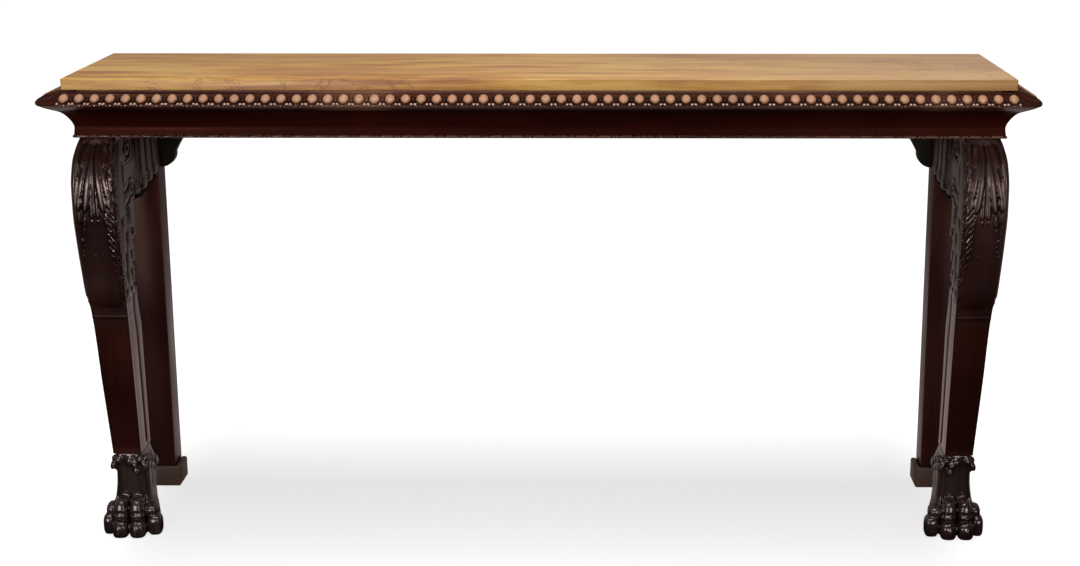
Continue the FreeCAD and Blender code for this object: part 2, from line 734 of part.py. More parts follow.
def wing_dowels(name, gap):
    """One dowel up into the side rail and one forward into the leg, or their holes."""
    x = (RAIL_X + RAIL_INNER_X) / 2
    half = S["small_dowel_length"] / 2
    radius = S["small_dowel_radius"] + gap
    length = S["small_dowel_length"] + gap * 2
    up_y = FRONT + S["leg_back"] + S["wing_reach"] / 2
    leg_y = FRONT + S["leg_back"]
    leg_z = FRAME_FOOT - S["knee_drop"]
    return [
        rod(f"{name}_up", (x, up_y, FRAME_FOOT - half - gap), ALONG_Z, radius, length),
        rod(f"{name}_leg", (x, leg_y - half - gap, leg_z), ALONG_Y, radius, length),
    ]


def wings():
    """Wing blocks, dowelled to the leg and to the side rail."""
    blank = slab("wing_blank", "YZ_Plane", wing_outline(), LEG_X - S["wing_proud"], RAIL_X)
    pair("knee_wing", cut("knee_wing_cut", blank, wing_dowels("wing_hole", S["fit_gap"])))
    rods = wing_dowels("wing_dowel", as_size(0))
    rods += [mirror(f"{thing.Name}_twin", thing) for thing in rods]
    return node("wing_dowels", group("wing_dowel_group", rods))


# Paw feet.


def paw_front_outline():
    """Collar, waisted ankle and spreading paw, seen from the front."""
    inner = LEG_X - S["ankle_taper"]
    middle = inner + S["ankle_width"] / 2
    half = S["ankle_width"] / 2
    collar_foot = S["paw_height"] - S["collar_height"]
    collar_middle = S["paw_height"] - S["collar_height"] / 2

    def side(sign, bulge):
        """One side of the outline, from the top down, with an ankle fuller by the bulge."""
        ankle = half + bulge
        return [
            (middle + half * sign, S["paw_height"]),
            Via((middle + (half + S["collar_swell"] + bulge / 2) * sign, collar_middle)),
            (middle + ankle * sign, collar_foot),
            Via((middle + (ankle - S["waist_in"] / 2) * sign, S["waist_height"])),
            (middle + (ankle + S["waist_in"] / 2) * sign, S["paw_top"]),
            Via((middle + (half + S["paw_swell"]) * sign, S["paw_top"] / 2)),
            (middle + (half + S["paw_spread"]) * sign, as_size(0)),
        ]

    return side(-1, S["ankle_bulge"]) + side(1, as_size(0))[::-1]


def paw_side_outline():
    """Collar, ankle, heel and the body of the paw, seen from the side."""
    front = FRONT + S["ankle_front"]
    back = front + S["ankle_depth"]
    body_front = front - S["pad_reach"]
    top = S["paw_height"]
    collar_foot = top - S["collar_height"]
    collar_middle = top - S["collar_height"] / 2
    return [
        (front, top),
        Via((front - S["collar_swell"], collar_middle)),
        (front, collar_foot),
        Via((front + S["waist_in"], S["waist_height"])),
        (front, S["paw_top"]),
        (body_front, as_size(0)),
        (back + S["paw_heel"] - S["waist_in"], as_size(0)),
        Via((back + S["paw_heel"], S["heel_height"])),
        (back, S["paw_top"]),
        Via((back - S["waist_in"] * 2, S["waist_height"])),
        (back, collar_foot),
        Via((back + S["collar_swell"], collar_middle)),
        (back, top),
    ]


def paw_plan_outline():
    """The paw from above: straight sides that narrow to the heel."""
    middle = LEG_X - S["ankle_taper"] + S["ankle_width"] / 2
    half = S["ankle_width"] / 2 + S["paw_spread"]
    heel = S["heel_width"] / 2
    front = FRONT + S["ankle_front"] - S["pad_reach"] - PLAN_MARGIN
    back = FRONT + S["ankle_front"] + S["ankle_depth"] + S["paw_heel"]
    shoulder = back - S["heel_taper"]
    return [
        (middle - half, front),
        (middle + half, front),
        (middle + half, shoulder),
        (middle + heel, back),
        (middle - heel, back),
        (middle - half, shoulder),
    ]


def toe(name, x, lean, tip_y, width, segments):
    """A tip and its knuckles, each a ball above and behind the one before."""
    made = []
    tip_radius = (width + S["toe_overlap"]) / 2
    for number in range(segments):
        ball = doc.addObject("Part::Sphere", f"{name}_{number + 1}")
        bind(ball, {"Radius": tip_radius - S["knuckle_taper"] * number / 2})
        y = tip_y + tip_radius + S["knuckle_setback"] * number
        z = S["toe_rise"] + S["knuckle_rise"] * number
        made.append(place(ball, (x + lean * number, y, z)))
    return made


def toes():
    """Four toes; the outer two are shorter and stand further back."""
    cleft = LEG_X - S["ankle_taper"] + S["ankle_width"] / 2 - S["toe_shift"]
    tip_y = FRONT + S["ankle_front"] - S["toe_reach"]
    outer_y = tip_y + S["outer_toe_setback"]
    made = []
    for name, sign in (("inner", -1), ("outer", 1)):
        width = S[f"{name}_toe_width"]
        lean = -S["knuckle_splay"] * sign
        made += toe(f"{name}_middle_toe", cleft + S["toe_width"] / 2 * sign, lean, tip_y,
                    S["toe_width"], TOE_SEGMENTS)
        made += toe(f"{name}_toe", cleft + (S["toe_width"] + width / 2) * sign, lean, outer_y,
                    width, TOE_SEGMENTS - 1)
    return made


def paws():
    """Paw blocks with collar and ankle, dowelled up into the shanks."""
    reach = S["leg_setback"]
    front = slab("paw_front_pattern", "XZ_Plane", paw_front_outline(),
                 FRONT - reach, FRONT + S["leg_back"] + reach)
    side = slab("paw_side_pattern", "YZ_Plane", paw_side_outline(),
                LEG_X - reach, LEG_X + reach * 2)
    plan = slab("paw_plan_pattern", "XY_Plane", paw_plan_outline(), as_size(0), S["paw_height"])
    body = common("paw_body", common("paw_block", front, side), plan)
    floor = box("paw_floor", (LEG_X - reach, FRONT - reach, -S["paw_top"]),
                (LEG_X + reach * 2, FRONT + S["leg_back"] + reach, as_size(0)))
    blank = join("paw_blank", [body] + toes())
    tools = [floor, foot_dowel_rod("paw_dowel_hole", S["fit_gap"])]
    pair("paw_foot", cut("paw_foot_cut", blank, tools))
    pair("foot_dowel", foot_dowel_rod("foot_dowel_rod", as_size(0)))


# Back legs.


def bracket_outline():
    """A curve that is hollow under the rail and full beside the leg."""
    turn_x = BACK_LEG_X - S["bracket_waist"]
    turn_z = FRAME_FOOT - S["bracket_waist_drop"]
    start_x = BACK_LEG_X - S["bracket_reach"]
    foot = FRAME_FOOT - S["bracket_drop"]
    hollow = S["bracket_hollow"]
    return [
        (BACK_LEG_X, FRAME_FOOT),
        (start_x, FRAME_FOOT),
        Via(((start_x + turn_x) / 2 + hollow, (FRAME_FOOT + turn_z) / 2 + hollow)),
        (turn_x, turn_z),
        Via((turn_x + S["bracket_full_out"], foot + S["bracket_full_rise"])),
        (BACK_LEG_X, foot),
    ]


def bracket_dowels(name, gap):
    """One dowel up into the back rail and one sideways into the leg, or their holes."""
    y = FRAME_BACK - S["bracket_setback"] - S["bracket_thickness"] / 2
    half = S["small_dowel_length"] / 2
    radius = S["small_dowel_radius"] + gap
    length = S["small_dowel_length"] + gap * 2
    up_x = BACK_LEG_X - S["bracket_waist"]
    side_z = FRAME_FOOT - S["bracket_waist_drop"] / 2
    return [
        rod(f"{name}_up", (up_x, y, FRAME_FOOT - half - gap), ALONG_Z, radius, length),
        rod(f"{name}_side", (BACK_LEG_X - half - gap, y, side_z), ALONG_X, radius, length),
    ]


def back_brackets():
    """Shaped brackets under the back rail, dowelled to rail and leg."""
    back = FRAME_BACK - S["bracket_setback"]
    blank = slab("bracket_blank", "XZ_Plane", bracket_outline(), back - S["bracket_thickness"], back)
    holes = bracket_dowels("bracket_hole", S["fit_gap"])
    pair("back_bracket", cut("back_bracket_cut", blank, holes))
    rods = bracket_dowels("bracket_dowel", as_size(0))
    rods += [mirror(f"{thing.Name}_twin", thing) for thing in rods]
    return node("bracket_dowels", group("bracket_dowel_group", rods))


def back_legs():
    """Plain square back legs, mortised for the rails."""
    gap = S["fit_gap"]
    post = box("back_leg_post", (BACK_LEG_X, BACK_LEG_FRONT, as_size(0)), (RAIL_X, FRAME_BACK, SEAT))
    tools = peg_holes("back_leg_peg", "back")
    reach = BACK_LEG_X + S["tenon_length"]
    tools.append(long_tenon("back_leg_long_mortise", RAIL_BACK_INNER, reach, gap))
    tools.append(side_tenon("back_leg_side_mortise", gap))
    tools.append(bracket_dowels("back_leg_dowel", gap)[1])
    pair("back_leg", cut("back_leg_cut", post, tools))


def plinths():
    """Three chamfered strips round the foot of each back leg; the front one laps the others."""
    thick = S["plinth_thickness"]
    high = S["plinth_height"]
    ease = S["plinth_ease"]

    def strip(inner, outward):
        """Section of a strip whose back is at inner, facing outward."""
        return [
            (inner, as_size(0)),
            (inner + thick * outward, as_size(0)),
            (inner + thick * outward, high - ease),
            (inner + (thick - ease) * outward, high),
            (inner, high),
        ]

    front = slab("plinth_front_strip", "YZ_Plane", strip(BACK_LEG_FRONT, -1),
                 BACK_LEG_X - thick, RAIL_X + thick)
    pair("plinth_front", front)
    inner = slab("plinth_inner_strip", "XZ_Plane", strip(BACK_LEG_X, -1), BACK_LEG_FRONT, FRAME_BACK)
    pair("plinth_inner", inner)
    outer = slab("plinth_outer_strip", "XZ_Plane", strip(RAIL_X, 1), BACK_LEG_FRONT, FRAME_BACK)
    pair("plinth_outer", outer)


def build():
    """Make every piece."""
    marble_slab()
    facing("edge_moulding", edge_outline)
    facing("frieze", frieze_outline)
    facing("frieze_bead", bead_outline)
    long_rail("front_rail", "front")
    long_rail("back_rail", "back")
    side_rails()
    bearers()
    glue_blocks()
    tenon_pegs()
    front_legs()
    wings()
    paws()
    back_legs()
    back_brackets()
    plinths()
    doc.recompute()


def check():
    """Stop if an object failed or a piece isn't a sound set of solids."""
    for thing in doc.Objects:
        if "Invalid" in thing.State or "Error" in thing.State:
            raise RuntimeError(f"{thing.Label} failed: {thing.State}")
    for thing in nodes:
        shape = thing.Shape
        if shape.isNull() or not shape.isValid() or not shape.Solids:
            raise RuntimeError(f"{thing.Label} isn't a valid solid")
        if any(solid.Volume <= 0 for solid in shape.Solids):
            raise RuntimeError(f"{thing.Label} has an empty solid")


def export():
    """Write one STEP file for each node."""
    os.makedirs("parts", exist_ok=True)
    for thing in nodes:
        thing.Shape.exportStep(f"parts/{thing.Label}.step")
        print(f"{thing.Label}: {len(thing.Shape.Solids)} solids, {thing.Shape.Volume / 1000:.1f} cm3")


build()
check()
export()
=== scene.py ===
"""Looks of the mahogany pier table: carved and plain timber, marble slab and studio.

Lengths in the sizes below are metres where a property holds them, and millimetres inside the
carving functions, which turn them to metres when a mesh is written.
"""

import math

import bpy
import numpy as np
from mathutils import Matrix, Vector


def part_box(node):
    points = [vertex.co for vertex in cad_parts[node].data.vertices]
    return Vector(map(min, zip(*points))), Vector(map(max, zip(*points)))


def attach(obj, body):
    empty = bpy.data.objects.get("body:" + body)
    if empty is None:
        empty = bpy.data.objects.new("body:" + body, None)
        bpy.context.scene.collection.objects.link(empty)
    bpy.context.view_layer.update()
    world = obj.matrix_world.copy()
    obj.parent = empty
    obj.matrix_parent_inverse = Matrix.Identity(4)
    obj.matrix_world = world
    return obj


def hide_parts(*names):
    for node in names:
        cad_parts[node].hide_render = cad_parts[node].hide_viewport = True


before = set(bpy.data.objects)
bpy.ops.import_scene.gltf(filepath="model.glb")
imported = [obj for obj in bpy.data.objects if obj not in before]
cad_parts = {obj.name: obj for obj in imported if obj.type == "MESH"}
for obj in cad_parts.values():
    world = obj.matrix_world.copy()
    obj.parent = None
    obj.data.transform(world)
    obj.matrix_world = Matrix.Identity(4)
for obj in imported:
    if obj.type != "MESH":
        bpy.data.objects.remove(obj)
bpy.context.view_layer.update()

bl_info = {
    "name": "Pier table",
    "version": (1, 0, 0),
    "blender": (4, 5, 0),
    "location": "3D View > Sidebar > Pier Table",
    "description": "Carved mahogany pier table with a marble slab, in a plain studio",
    "category": "Add Mesh",
}

MM = 0.001
TABLE_BODY = "root"

# Datum lines of the table, in millimetres
EDGE_X = 891.0  # half the marble's length
FRONT_Y = -171.0  # front of the marble
FRAME_BACK_Y = 200.0
FRAME_FOOT = 801.0  # where the legs and the wings end under the frame
FRIEZE_FOOT = 807.0
FRIEZE_TOP = 857.0
FRIEZE_LIP = 13.0  # reach of the frieze's top past the marble's edge, under the moulding
SEAT = 893.0  # underside of the marble
RAIL_FACE = -30.0  # the rails' face, behind the marble's edge
PAW_TOP = 163.0


# ---------------------------------------------------------------------------------------------
# Sizes and colours a maker would change


class StudioSettings(bpy.types.PropertyGroup):
    """Camera, lamps and floor."""

    camera_place: bpy.props.FloatVectorProperty(
        name="Camera place", description="Where the camera stands",
        default=(0.1389, -3.6149, 1.3932), subtype="TRANSLATION", unit="LENGTH")
    camera_turn: bpy.props.FloatVectorProperty(
        name="Camera turn", description="Tilt, roll and heading of the camera",
        default=(math.radians(75.842), 0.0, math.radians(0.390)), subtype="EULER")
    lens: bpy.props.FloatProperty(
        name="Lens", description="Focal length on a 36 mm wide frame, in millimetres", default=62.04)
    shift_x: bpy.props.FloatProperty(
        name="Side shift", description="Sideways shift of the lens", default=-0.0561)
    top_radiance: bpy.props.FloatProperty(
        name="Top light", description="Brightness of the wide softbox over the table",
        default=4.4, min=0)
    front_radiance: bpy.props.FloatProperty(
        name="Front light", description="Brightness of the wide softbox in front", default=6.2,
        min=0)
    key_shine: bpy.props.FloatProperty(
        name="Key shine", description="Brightness of the mirrored softbox over the front",
        default=5.5, min=0)
    high_shine: bpy.props.FloatProperty(
        name="High shine", description="Brightness of the two small mirrored softboxes overhead",
        default=30.0, min=0)
    low_shine: bpy.props.FloatProperty(
        name="Low shine", description="Brightness of the two mirrored softboxes by the camera",
        default=30.0, min=0)
    shine_tint: bpy.props.StringProperty(
        name="Shine tint", description="Colour of the mirrored softboxes", default="#FFEAE6")
    floor_lift: bpy.props.FloatProperty(
        name="Floor lift", description="Share of white that the paper shows in full shadow",
        default=0.65, min=0, max=1)
    floor_mirror: bpy.props.FloatProperty(
        name="Mirrored floor", description="Brightness of the paper behind, seen in the polish",
        default=0.55, min=0)
    floor_colour: bpy.props.FloatVectorProperty(
        name="Floor", description="Colour of the studio floor", default=(0.4, 0.4, 0.4),
        subtype="COLOR")


class MouldingSettings(bpy.types.PropertyGroup):
    """Egg-and-dart edge, hollow frieze and bead."""

    egg_pitch: bpy.props.FloatProperty(
        name="Egg pitch", description="From one egg to the next", default=28.8 * MM, unit="LENGTH")
    egg_count: bpy.props.IntProperty(
        name="Eggs in front", description="Eggs along the front edge", default=62, min=2)
    side_egg_count: bpy.props.IntProperty(
        name="Eggs on a side", description="Eggs along each side edge", default=13, min=1)
    egg_width: bpy.props.FloatProperty(
        name="Egg width", description="Width of one egg", default=18.8 * MM, unit="LENGTH")
    bead_pitch: bpy.props.FloatProperty(
        name="Bead pitch", description="One spindle and its two small beads", default=41 * MM,
        unit="LENGTH")


class LegSettings(bpy.types.PropertyGroup):
    """Carved front legs and their feet."""

    leaf_depth: bpy.props.FloatProperty(
        name="Leaf depth", description="Depth of the carving between two lobes of the knee leaf",
        default=3.4 * MM, unit="LENGTH")
    paw_grain: bpy.props.FloatProperty(
        name="Paw grain", description="Cell size of the paw's surface", default=1.35 * MM,
        unit="LENGTH")


class TableSettings(bpy.types.PropertyGroup):
    """All groups of settings of the table."""

    studio: bpy.props.PointerProperty(type=StudioSettings, name="Studio", description="Studio")
    moulding: bpy.props.PointerProperty(
        type=MouldingSettings, name="Mouldings", description="Edge, frieze and bead")
    leg: bpy.props.PointerProperty(type=LegSettings, name="Legs", description="Front legs")


def settings():
    """The table's settings in the current scene."""
    return bpy.context.scene.pier_table


# ---------------------------------------------------------------------------------------------
# Materials


def linear(code):
    """Linear colour, with alpha, of an sRGB hex code."""
    channels = [int(code[i:i + 2], 16) / 255 for i in (1, 3, 5)]
    return [c / 12.92 if c <= 0.04045 else ((c + 0.055) / 1.055) ** 2.4 for c in channels] + [1.0]


def wire(tree, node, links=None, inputs=None):
    """Values and links put on a node's inputs, by name or number.

    A hex code is a colour. A link starts at a socket, or at a node's first output in use."""
    for name, value in (inputs or {}).items():
        node.inputs[name].default_value = linear(value) if isinstance(value, str) else value
    for name, source in (links or {}).items():
        if isinstance(source, bpy.types.Node):
            source = next(output for output in source.outputs if output.enabled)
        tree.links.new(source, node.inputs[name])


def add(tree, kind, links=None, inputs=None, stops=(), **values):
    """A node of a kind with its settings, links and input values, and the stops of a ramp."""
    made = tree.nodes.new("ShaderNode" + kind)
    for name, value in values.items():
        setattr(made, name, value)
    if stops:
        elements = made.color_ramp.elements
        while len(elements) < len(stops):
            elements.new(0.5)
        for element, (position, code) in zip(elements, stops):
            element.position = position
            element.color = linear(code)
    wire(tree, made, links, inputs)
    return made


def blank_material(name, inputs):
    """A new material, its tree, its Principled node with these inputs, and Object coordinates."""
    made = bpy.data.materials.new(name)
    made.use_nodes = True
    tree = made.node_tree
    shader = tree.nodes["Principled BSDF"]
    wire(tree, shader, inputs=inputs)
    return made, tree, shader, add(tree, "TexCoord").outputs["Object"]


GRAIN_ACROSS, GRAIN_ALONG = 42.0, 3.5  # cells of grain to a metre: 12 times longer than wide
PORES = 9  # pores to a cell of grain, about three times as coarse as real ones so that they show
HALF_CLOUD = 0.5  # mean of the broad clouds that break up the wear's edge


def timber(name, tones, grain_axis, roughness=0.35, specular=0.3, tint="#FFFFFF", low_tint=None,
           dust_and_shade_above=None, glow_tone=None, wear_and_sheen_tone=None, wear_and_sheen_span=(0.5, 0.8),
           wear_and_sheen_by="relief", painted_glint_tone=None, dirt_and_shade_tone=None, pore_depth=0.00012):
    """Timber with long grain and open pores, in three tones from dark to light.

    Where it has a wear_and_sheen_tone, wear and a painted sheen show by the attribute relief or rub,
    a pale painted glint past that, and dirt and painted shade in hollows."""
    made, tree, shader, place = blank_material(name, {
        "IOR": 1.5, "Roughness": roughness, "Specular IOR Level": specular,
        "Specular Tint": tint})
    axes = add(tree, "SeparateXYZ", {"Vector": place}).outputs
    scale = [GRAIN_ALONG if axis == grain_axis else GRAIN_ACROSS for axis in "XYZ"]
    stretched = add(tree, "Mapping", {"Vector": place}, {"Scale": scale})
    grain = add(tree, "TexNoise", {"Vector": stretched},
                {"Scale": 1.0, "Detail": 5.0, "Roughness": 0.62, "Distortion": 0.35})
    broad = add(tree, "TexNoise", {"Vector": place},
                {"Scale": 4.5, "Detail": 2.0, "Roughness": 0.5})
    mixed = add(tree, "Math", {0: grain, 1: broad}, operation="ADD")
    halved = add(tree, "Math", {0: mixed}, {1: 0.5}, operation="MULTIPLY")
    colour = add(tree, "ValToRGB", {"Fac": halved}, stops=list(zip((0.34, 0.5, 0.66), tones)))
    if low_tint:
        # Painted reflection: below the ledge of the leg the reflection is tinted red, for red
        # surroundings mirrored in the shank.
        below = add(tree, "MapRange", {"Value": axes["Z"]}, {"From Min": 0.45, "From Max": 0.42})
        tinted = add(tree, "Mix", {"Factor": below}, {"A": tint, "B": low_tint},
                     data_type="RGBA")
        wire(tree, shader, {"Specular Tint": tinted})
    if dust_and_shade_above:
        # Toward the top the polish is duller: dust where no cloth reaches, and a painted shade under
        # the frame.
        shine = add(tree, "MapRange", {"Value": axes["Z"]},
                    {"From Min": dust_and_shade_above, "From Max": dust_and_shade_above + 0.06,
                     "To Min": specular, "To Max": 0.25 * specular})
        wire(tree, shader, {"Specular IOR Level": shine})
    if glow_tone:
        # Painted reflection: toward the two ends of the front and toward its foot the colour turns a
        # warmer, lighter red, for warm light mirrored there; the middle stays darker.
        reach = add(tree, "Math", {0: axes["X"]}, operation="ABSOLUTE")
        glow = add(tree, "MapRange", {"Value": reach},
                   {"From Min": 0.12, "From Max": 0.62, "To Min": 0.0, "To Max": 0.85})
        low = add(tree, "MapRange", {"Value": axes["Z"]},
                  {"From Min": 0.848, "From Max": 0.822, "To Min": 0.1, "To Max": 1.0})
        share = add(tree, "Math", {0: glow, 1: low}, operation="MULTIPLY")
        colour = add(tree, "Mix", {"Factor": share, "A": colour}, {"B": glow_tone},
                     data_type="RGBA")
    if wear_and_sheen_tone:
        relief = add(tree, "Attribute", attribute_name="relief").outputs["Fac"]
        height = add(tree, "Attribute", attribute_name=wear_and_sheen_by).outputs["Fac"]
        if wear_and_sheen_by == "rub_and_glint":
            # A rub below zero marks corners that no cloth reaches: they stay dull.
            dusty = add(tree, "MapRange", {"Value": height},
                        {"From Min": -1.0, "From Max": -0.2, "To Min": 0.1 * specular,
                         "To Max": specular})
            wire(tree, shader, {"Specular IOR Level": dusty})
        clouded = add(tree, "Math", {0: height, 1: broad}, operation="ADD")
        start, full = (edge + HALF_CLOUD for edge in wear_and_sheen_span)
        # Worn polish with painted sheen, then a pale painted glint, then dirt and painted shade in
        # the hollows, each over the last
        for level, low, high, tone in ((clouded, start, full, wear_and_sheen_tone),
                                       (height, 1.2, 2.2, painted_glint_tone),
                                       (relief, 0.45, 0.2, dirt_and_shade_tone)):
            if tone:
                share = add(tree, "MapRange", {"Value": level},
                            {"From Min": low, "From Max": high})
                colour = add(tree, "Mix", {"Factor": share, "A": colour}, {"B": tone},
                             data_type="RGBA")
    fine = add(tree, "Mapping", {"Vector": place}, {"Scale": [PORES * cells for cells in scale]})
    pores = add(tree, "TexNoise", {"Vector": fine},
                {"Scale": 1.0, "Detail": 2.0, "Roughness": 0.5})
    bump = add(tree, "Bump", {"Height": pores}, {"Strength": 1.0, "Distance": pore_depth})
    polish = add(tree, "MapRange", {"Value": broad},
                 {"From Min": 0.3, "From Max": 0.7, "To Min": roughness * 0.8,
                  "To Max": roughness * 1.3})
    wire(tree, shader, {"Base Color": colour, "Roughness": polish, "Normal": bump})
    return made


def siena_marble():
    """Yellow Siena marble, sawn, honed and waxed: ochre clouds drawn out along the slab,
    pinkish beds and a few fine brown-violet veins under a soft shine."""
    made, tree, shader, place = blank_material("siena_marble_waxed", {
        "IOR": 1.49, "Roughness": 0.32, "Specular IOR Level": 0.16})
    axes = add(tree, "SeparateXYZ", {"Vector": place}).outputs
    bedded = add(tree, "Mapping", {"Vector": place},
                 {"Scale": (1.3, 9.0, 16.0), "Rotation": (0.0, 0.0, 0.03)})
    clouds = add(tree, "TexNoise", {"Vector": bedded},
                 {"Scale": 1.4, "Detail": 6.0, "Roughness": 0.55, "Distortion": 0.6})
    beds = add(tree, "TexNoise", {"Vector": bedded},
               {"Scale": 4.0, "Detail": 3.0, "Roughness": 0.6, "Distortion": 0.2})
    mixed = add(tree, "Math", {0: clouds, 1: beds}, operation="ADD")
    halved = add(tree, "Math", {0: mixed}, {1: 0.5}, operation="MULTIPLY")
    colour = add(tree, "ValToRGB", {"Fac": halved}, stops=[
        (0.40, "#A06C44"), (0.46, "#BA854A"), (0.51, "#C8974F"), (0.57, "#D6AB62")])
    pink = add(tree, "TexNoise", {"Vector": bedded},
               {"Scale": 1.1, "Detail": 3.0, "Roughness": 0.5})
    pinkish = add(tree, "MapRange", {"Value": pink},
                  {"From Min": 0.5, "From Max": 0.68, "To Min": 0.0, "To Max": 0.6})
    # Toward the right a painted sheen lightens the top, and the front face turns a darker olive.
    right = add(tree, "MapRange", {"Value": axes["X"]},
                {"From Min": -0.25, "From Max": 0.8, "To Min": 0.0, "To Max": 0.5})
    upper = add(tree, "MapRange", {"Value": axes["Z"]}, {"From Min": 0.912, "From Max": 0.9148})
    lower = add(tree, "Math", {1: upper}, {0: 1.0}, operation="SUBTRACT")
    painted_sheen = add(tree, "Math", {0: right, 1: upper}, operation="MULTIPLY")
    olive = add(tree, "Math", {0: right, 1: lower}, operation="MULTIPLY")
    # Veins: thin lines where a warped noise passes its middle, kept to a few patches.
    warped = add(tree, "TexNoise", {"Vector": place},
                 {"Scale": 7.0, "Detail": 7.0, "Roughness": 0.62, "Distortion": 1.6})
    level = add(tree, "Math", {0: warped}, {1: 0.5}, operation="SUBTRACT")
    distance = add(tree, "Math", {0: level}, operation="ABSOLUTE")
    line = add(tree, "MapRange", {"Value": distance},
               {"From Min": 0.0, "From Max": 0.014, "To Min": 1.0, "To Max": 0.0})
    patches = add(tree, "TexNoise", {"Vector": place},
                  {"Scale": 3.1, "Detail": 1.0, "Roughness": 0.4})
    patch = add(tree, "MapRange", {"Value": patches}, {"From Min": 0.52, "From Max": 0.64})
    vein = add(tree, "Math", {0: line, 1: patch}, operation="MULTIPLY")
    faded = add(tree, "Math", {0: vein}, {1: 0.6}, operation="MULTIPLY")
    for share, tone in ((pinkish, "#B98655"), (painted_sheen, "#DDBE9A"), (olive, "#8F6B30"),
                        (faded, "#6E4A3C")):
        colour = add(tree, "Mix", {"Factor": share, "A": colour}, {"B": tone}, data_type="RGBA")
    bump = add(tree, "Bump", {"Height": distance}, {"Strength": 0.15, "Distance": 0.0004})
    wire(tree, shader, {"Base Color": colour, "Normal": bump})
    return made


def forged_iron():
    """Old iron, forged and rusted thin: dull grey-brown metal with a rough skin."""
    made, tree, shader, place = blank_material("iron_rusted", {"Metallic": 0.8, "Roughness": 0.6})
    rust = add(tree, "TexNoise", {"Vector": place},
               {"Scale": 260.0, "Detail": 4.0, "Roughness": 0.6})
    colour = add(tree, "ValToRGB", {"Fac": rust},
                 stops=[(0.35, "#3A3430"), (0.5, "#4A3A30"), (0.65, "#6A4630")])
    bump = add(tree, "Bump", {"Height": rust}, {"Strength": 0.5, "Distance": 0.0002})
    wire(tree, shader, {"Base Color": colour, "Normal": bump})
    return made


finishes = {}


def make_finishes():
    """Every finish of the table, by a maker's name."""
    finishes["marble"] = siena_marble()
    # Mahogany edge, carved and waxed, its crowns rubbed back to tan wood by two centuries of hands;
    # the egg crowns also carry painted highlight and shading, each knob a pale painted glint, and
    # the hollows dirt and painted shade.
    finishes["edge"] = timber("mahogany_carved_rubbed", ("#27110C", "#351810", "#452117"), "X",
                              roughness=0.25, specular=0.32, tint="#FFD8CC",
                              wear_and_sheen_tone="#B88A6C", wear_and_sheen_span=(0.05, 1.0), wear_and_sheen_by="rub_and_glint",
                              painted_glint_tone="#CDBCB2", dirt_and_shade_tone="#100604")
    # Mahogany frieze, French polished: a deep red-brown gloss over long straight grain, with a
    # painted warm reflection toward the ends and the foot of the front.
    finishes["frieze"] = timber("mahogany_french_polished", ("#190503", "#250906", "#320F09"),
                                "X", roughness=0.32, specular=0.035, tint="#FFA890",
                                glow_tone="#2C0D07")
    # Mahogany bead, carved and polished, its high points lighter from wear and a painted sheen, its
    # hollows dark with dirt and painted shade.
    finishes["bead"] = timber("mahogany_bead_rubbed", ("#160705", "#210B08", "#2C120C"), "X",
                              roughness=0.32, specular=0.4, wear_and_sheen_tone="#5A3A2E",
                              wear_and_sheen_span=(0.55, 0.8), dirt_and_shade_tone="#080302")
    # Mahogany legs, carved and waxed almost black, with a cold shine on the high carving. The crests
    # are painted lighter as sheen besides their wear, the reflection below the ledge is tinted red
    # as a painted reflection, the polish dulls toward the top for a painted shade, and hollows
    # darken with dirt and painted shade.
    finishes["carving"] = timber("mahogany_carved_waxed", ("#180806", "#220B08", "#2F120D"), "Z",
                                 roughness=0.25, specular=0.45, tint="#FFF8F6",
                                 low_tint="#FFA08C", dust_and_shade_above=0.71, wear_and_sheen_tone="#2E1C16",
                                 wear_and_sheen_span=(0.6, 1.0), dirt_and_shade_tone="#060202",
                                 pore_depth=0.00002)
    # Mahogany brackets at the back, planed: painted near black with an olive cast as the shade they
    # stand in, and almost no shine.
    finishes["bracket_shade"] = timber("mahogany_planed_shade_dark", ("#11100A", "#17150E", "#1F1C14"), "Z",
                              roughness=0.4, specular=0.1)
    # Mahogany paws, waxed over old dust: greyer than the legs, shiny on every knuckle, the knuckles
    # lighter from wear and a painted sheen, the hollows dark with dirt and painted shade.
    finishes["paw"] = timber("mahogany_paw_dusty", ("#1A1110", "#261917", "#342521"), "Z",
                             roughness=0.24, specular=0.5, wear_and_sheen_tone="#5E5148",
                             wear_and_sheen_span=(0.6, 0.95), dirt_and_shade_tone="#0A0706", pore_depth=0.00002)
    # Mahogany posts, planed and waxed: plain straight grain, duller than the front.
    finishes["post"] = timber("mahogany_planed_waxed", ("#220B09", "#2E100D", "#3B1713"), "Z",
                              roughness=0.33, specular=0.25, tint="#FFDCD2")
    # Mahogany plinth strips, kicked and sun-bleached to a brown.
    finishes["plinth"] = timber("mahogany_scuffed", ("#412C23", "#50392E", "#5F4435"), "X",
                                roughness=0.5)
    # Pine, sawn and left bare: dry, browned with age. It lies along, across and upright.
    for key, name, tones, axis in (
            ("pine", "pine_sawn_bare", ("#7A5534", "#916A42", "#A87E52"), "X"),
            ("pine_cross", "pine_sawn_bare_cross", ("#7A5534", "#916A42", "#A87E52"), "Y"),
            ("pine_upright", "pine_block_bare", ("#7A5534", "#8C663E", "#A0784E"), "Z")):
        finishes[key] = timber(name, tones, axis, roughness=0.75, pore_depth=0.0003)
    # Oak, cleft and shaved: brown pegs with coarse pores.
    finishes["oak"] = timber("oak_cleft", ("#5E4026", "#74522F", "#8A6540"), "Y", roughness=0.6,
                             pore_depth=0.0003)
    finishes["iron"] = forged_iron()


# ---------------------------------------------------------------------------------------------
# Shaping helpers


def deselect():
    """Nothing selected, so that an operator acts on new work alone."""
    bpy.ops.object.select_all(action="DESELECT")


def pick(*objects):
    """Only these objects selected; the first is the active one."""
    deselect()
    for obj in objects:
        obj.select_set(True)
    bpy.context.view_layer.objects.active = objects[0]


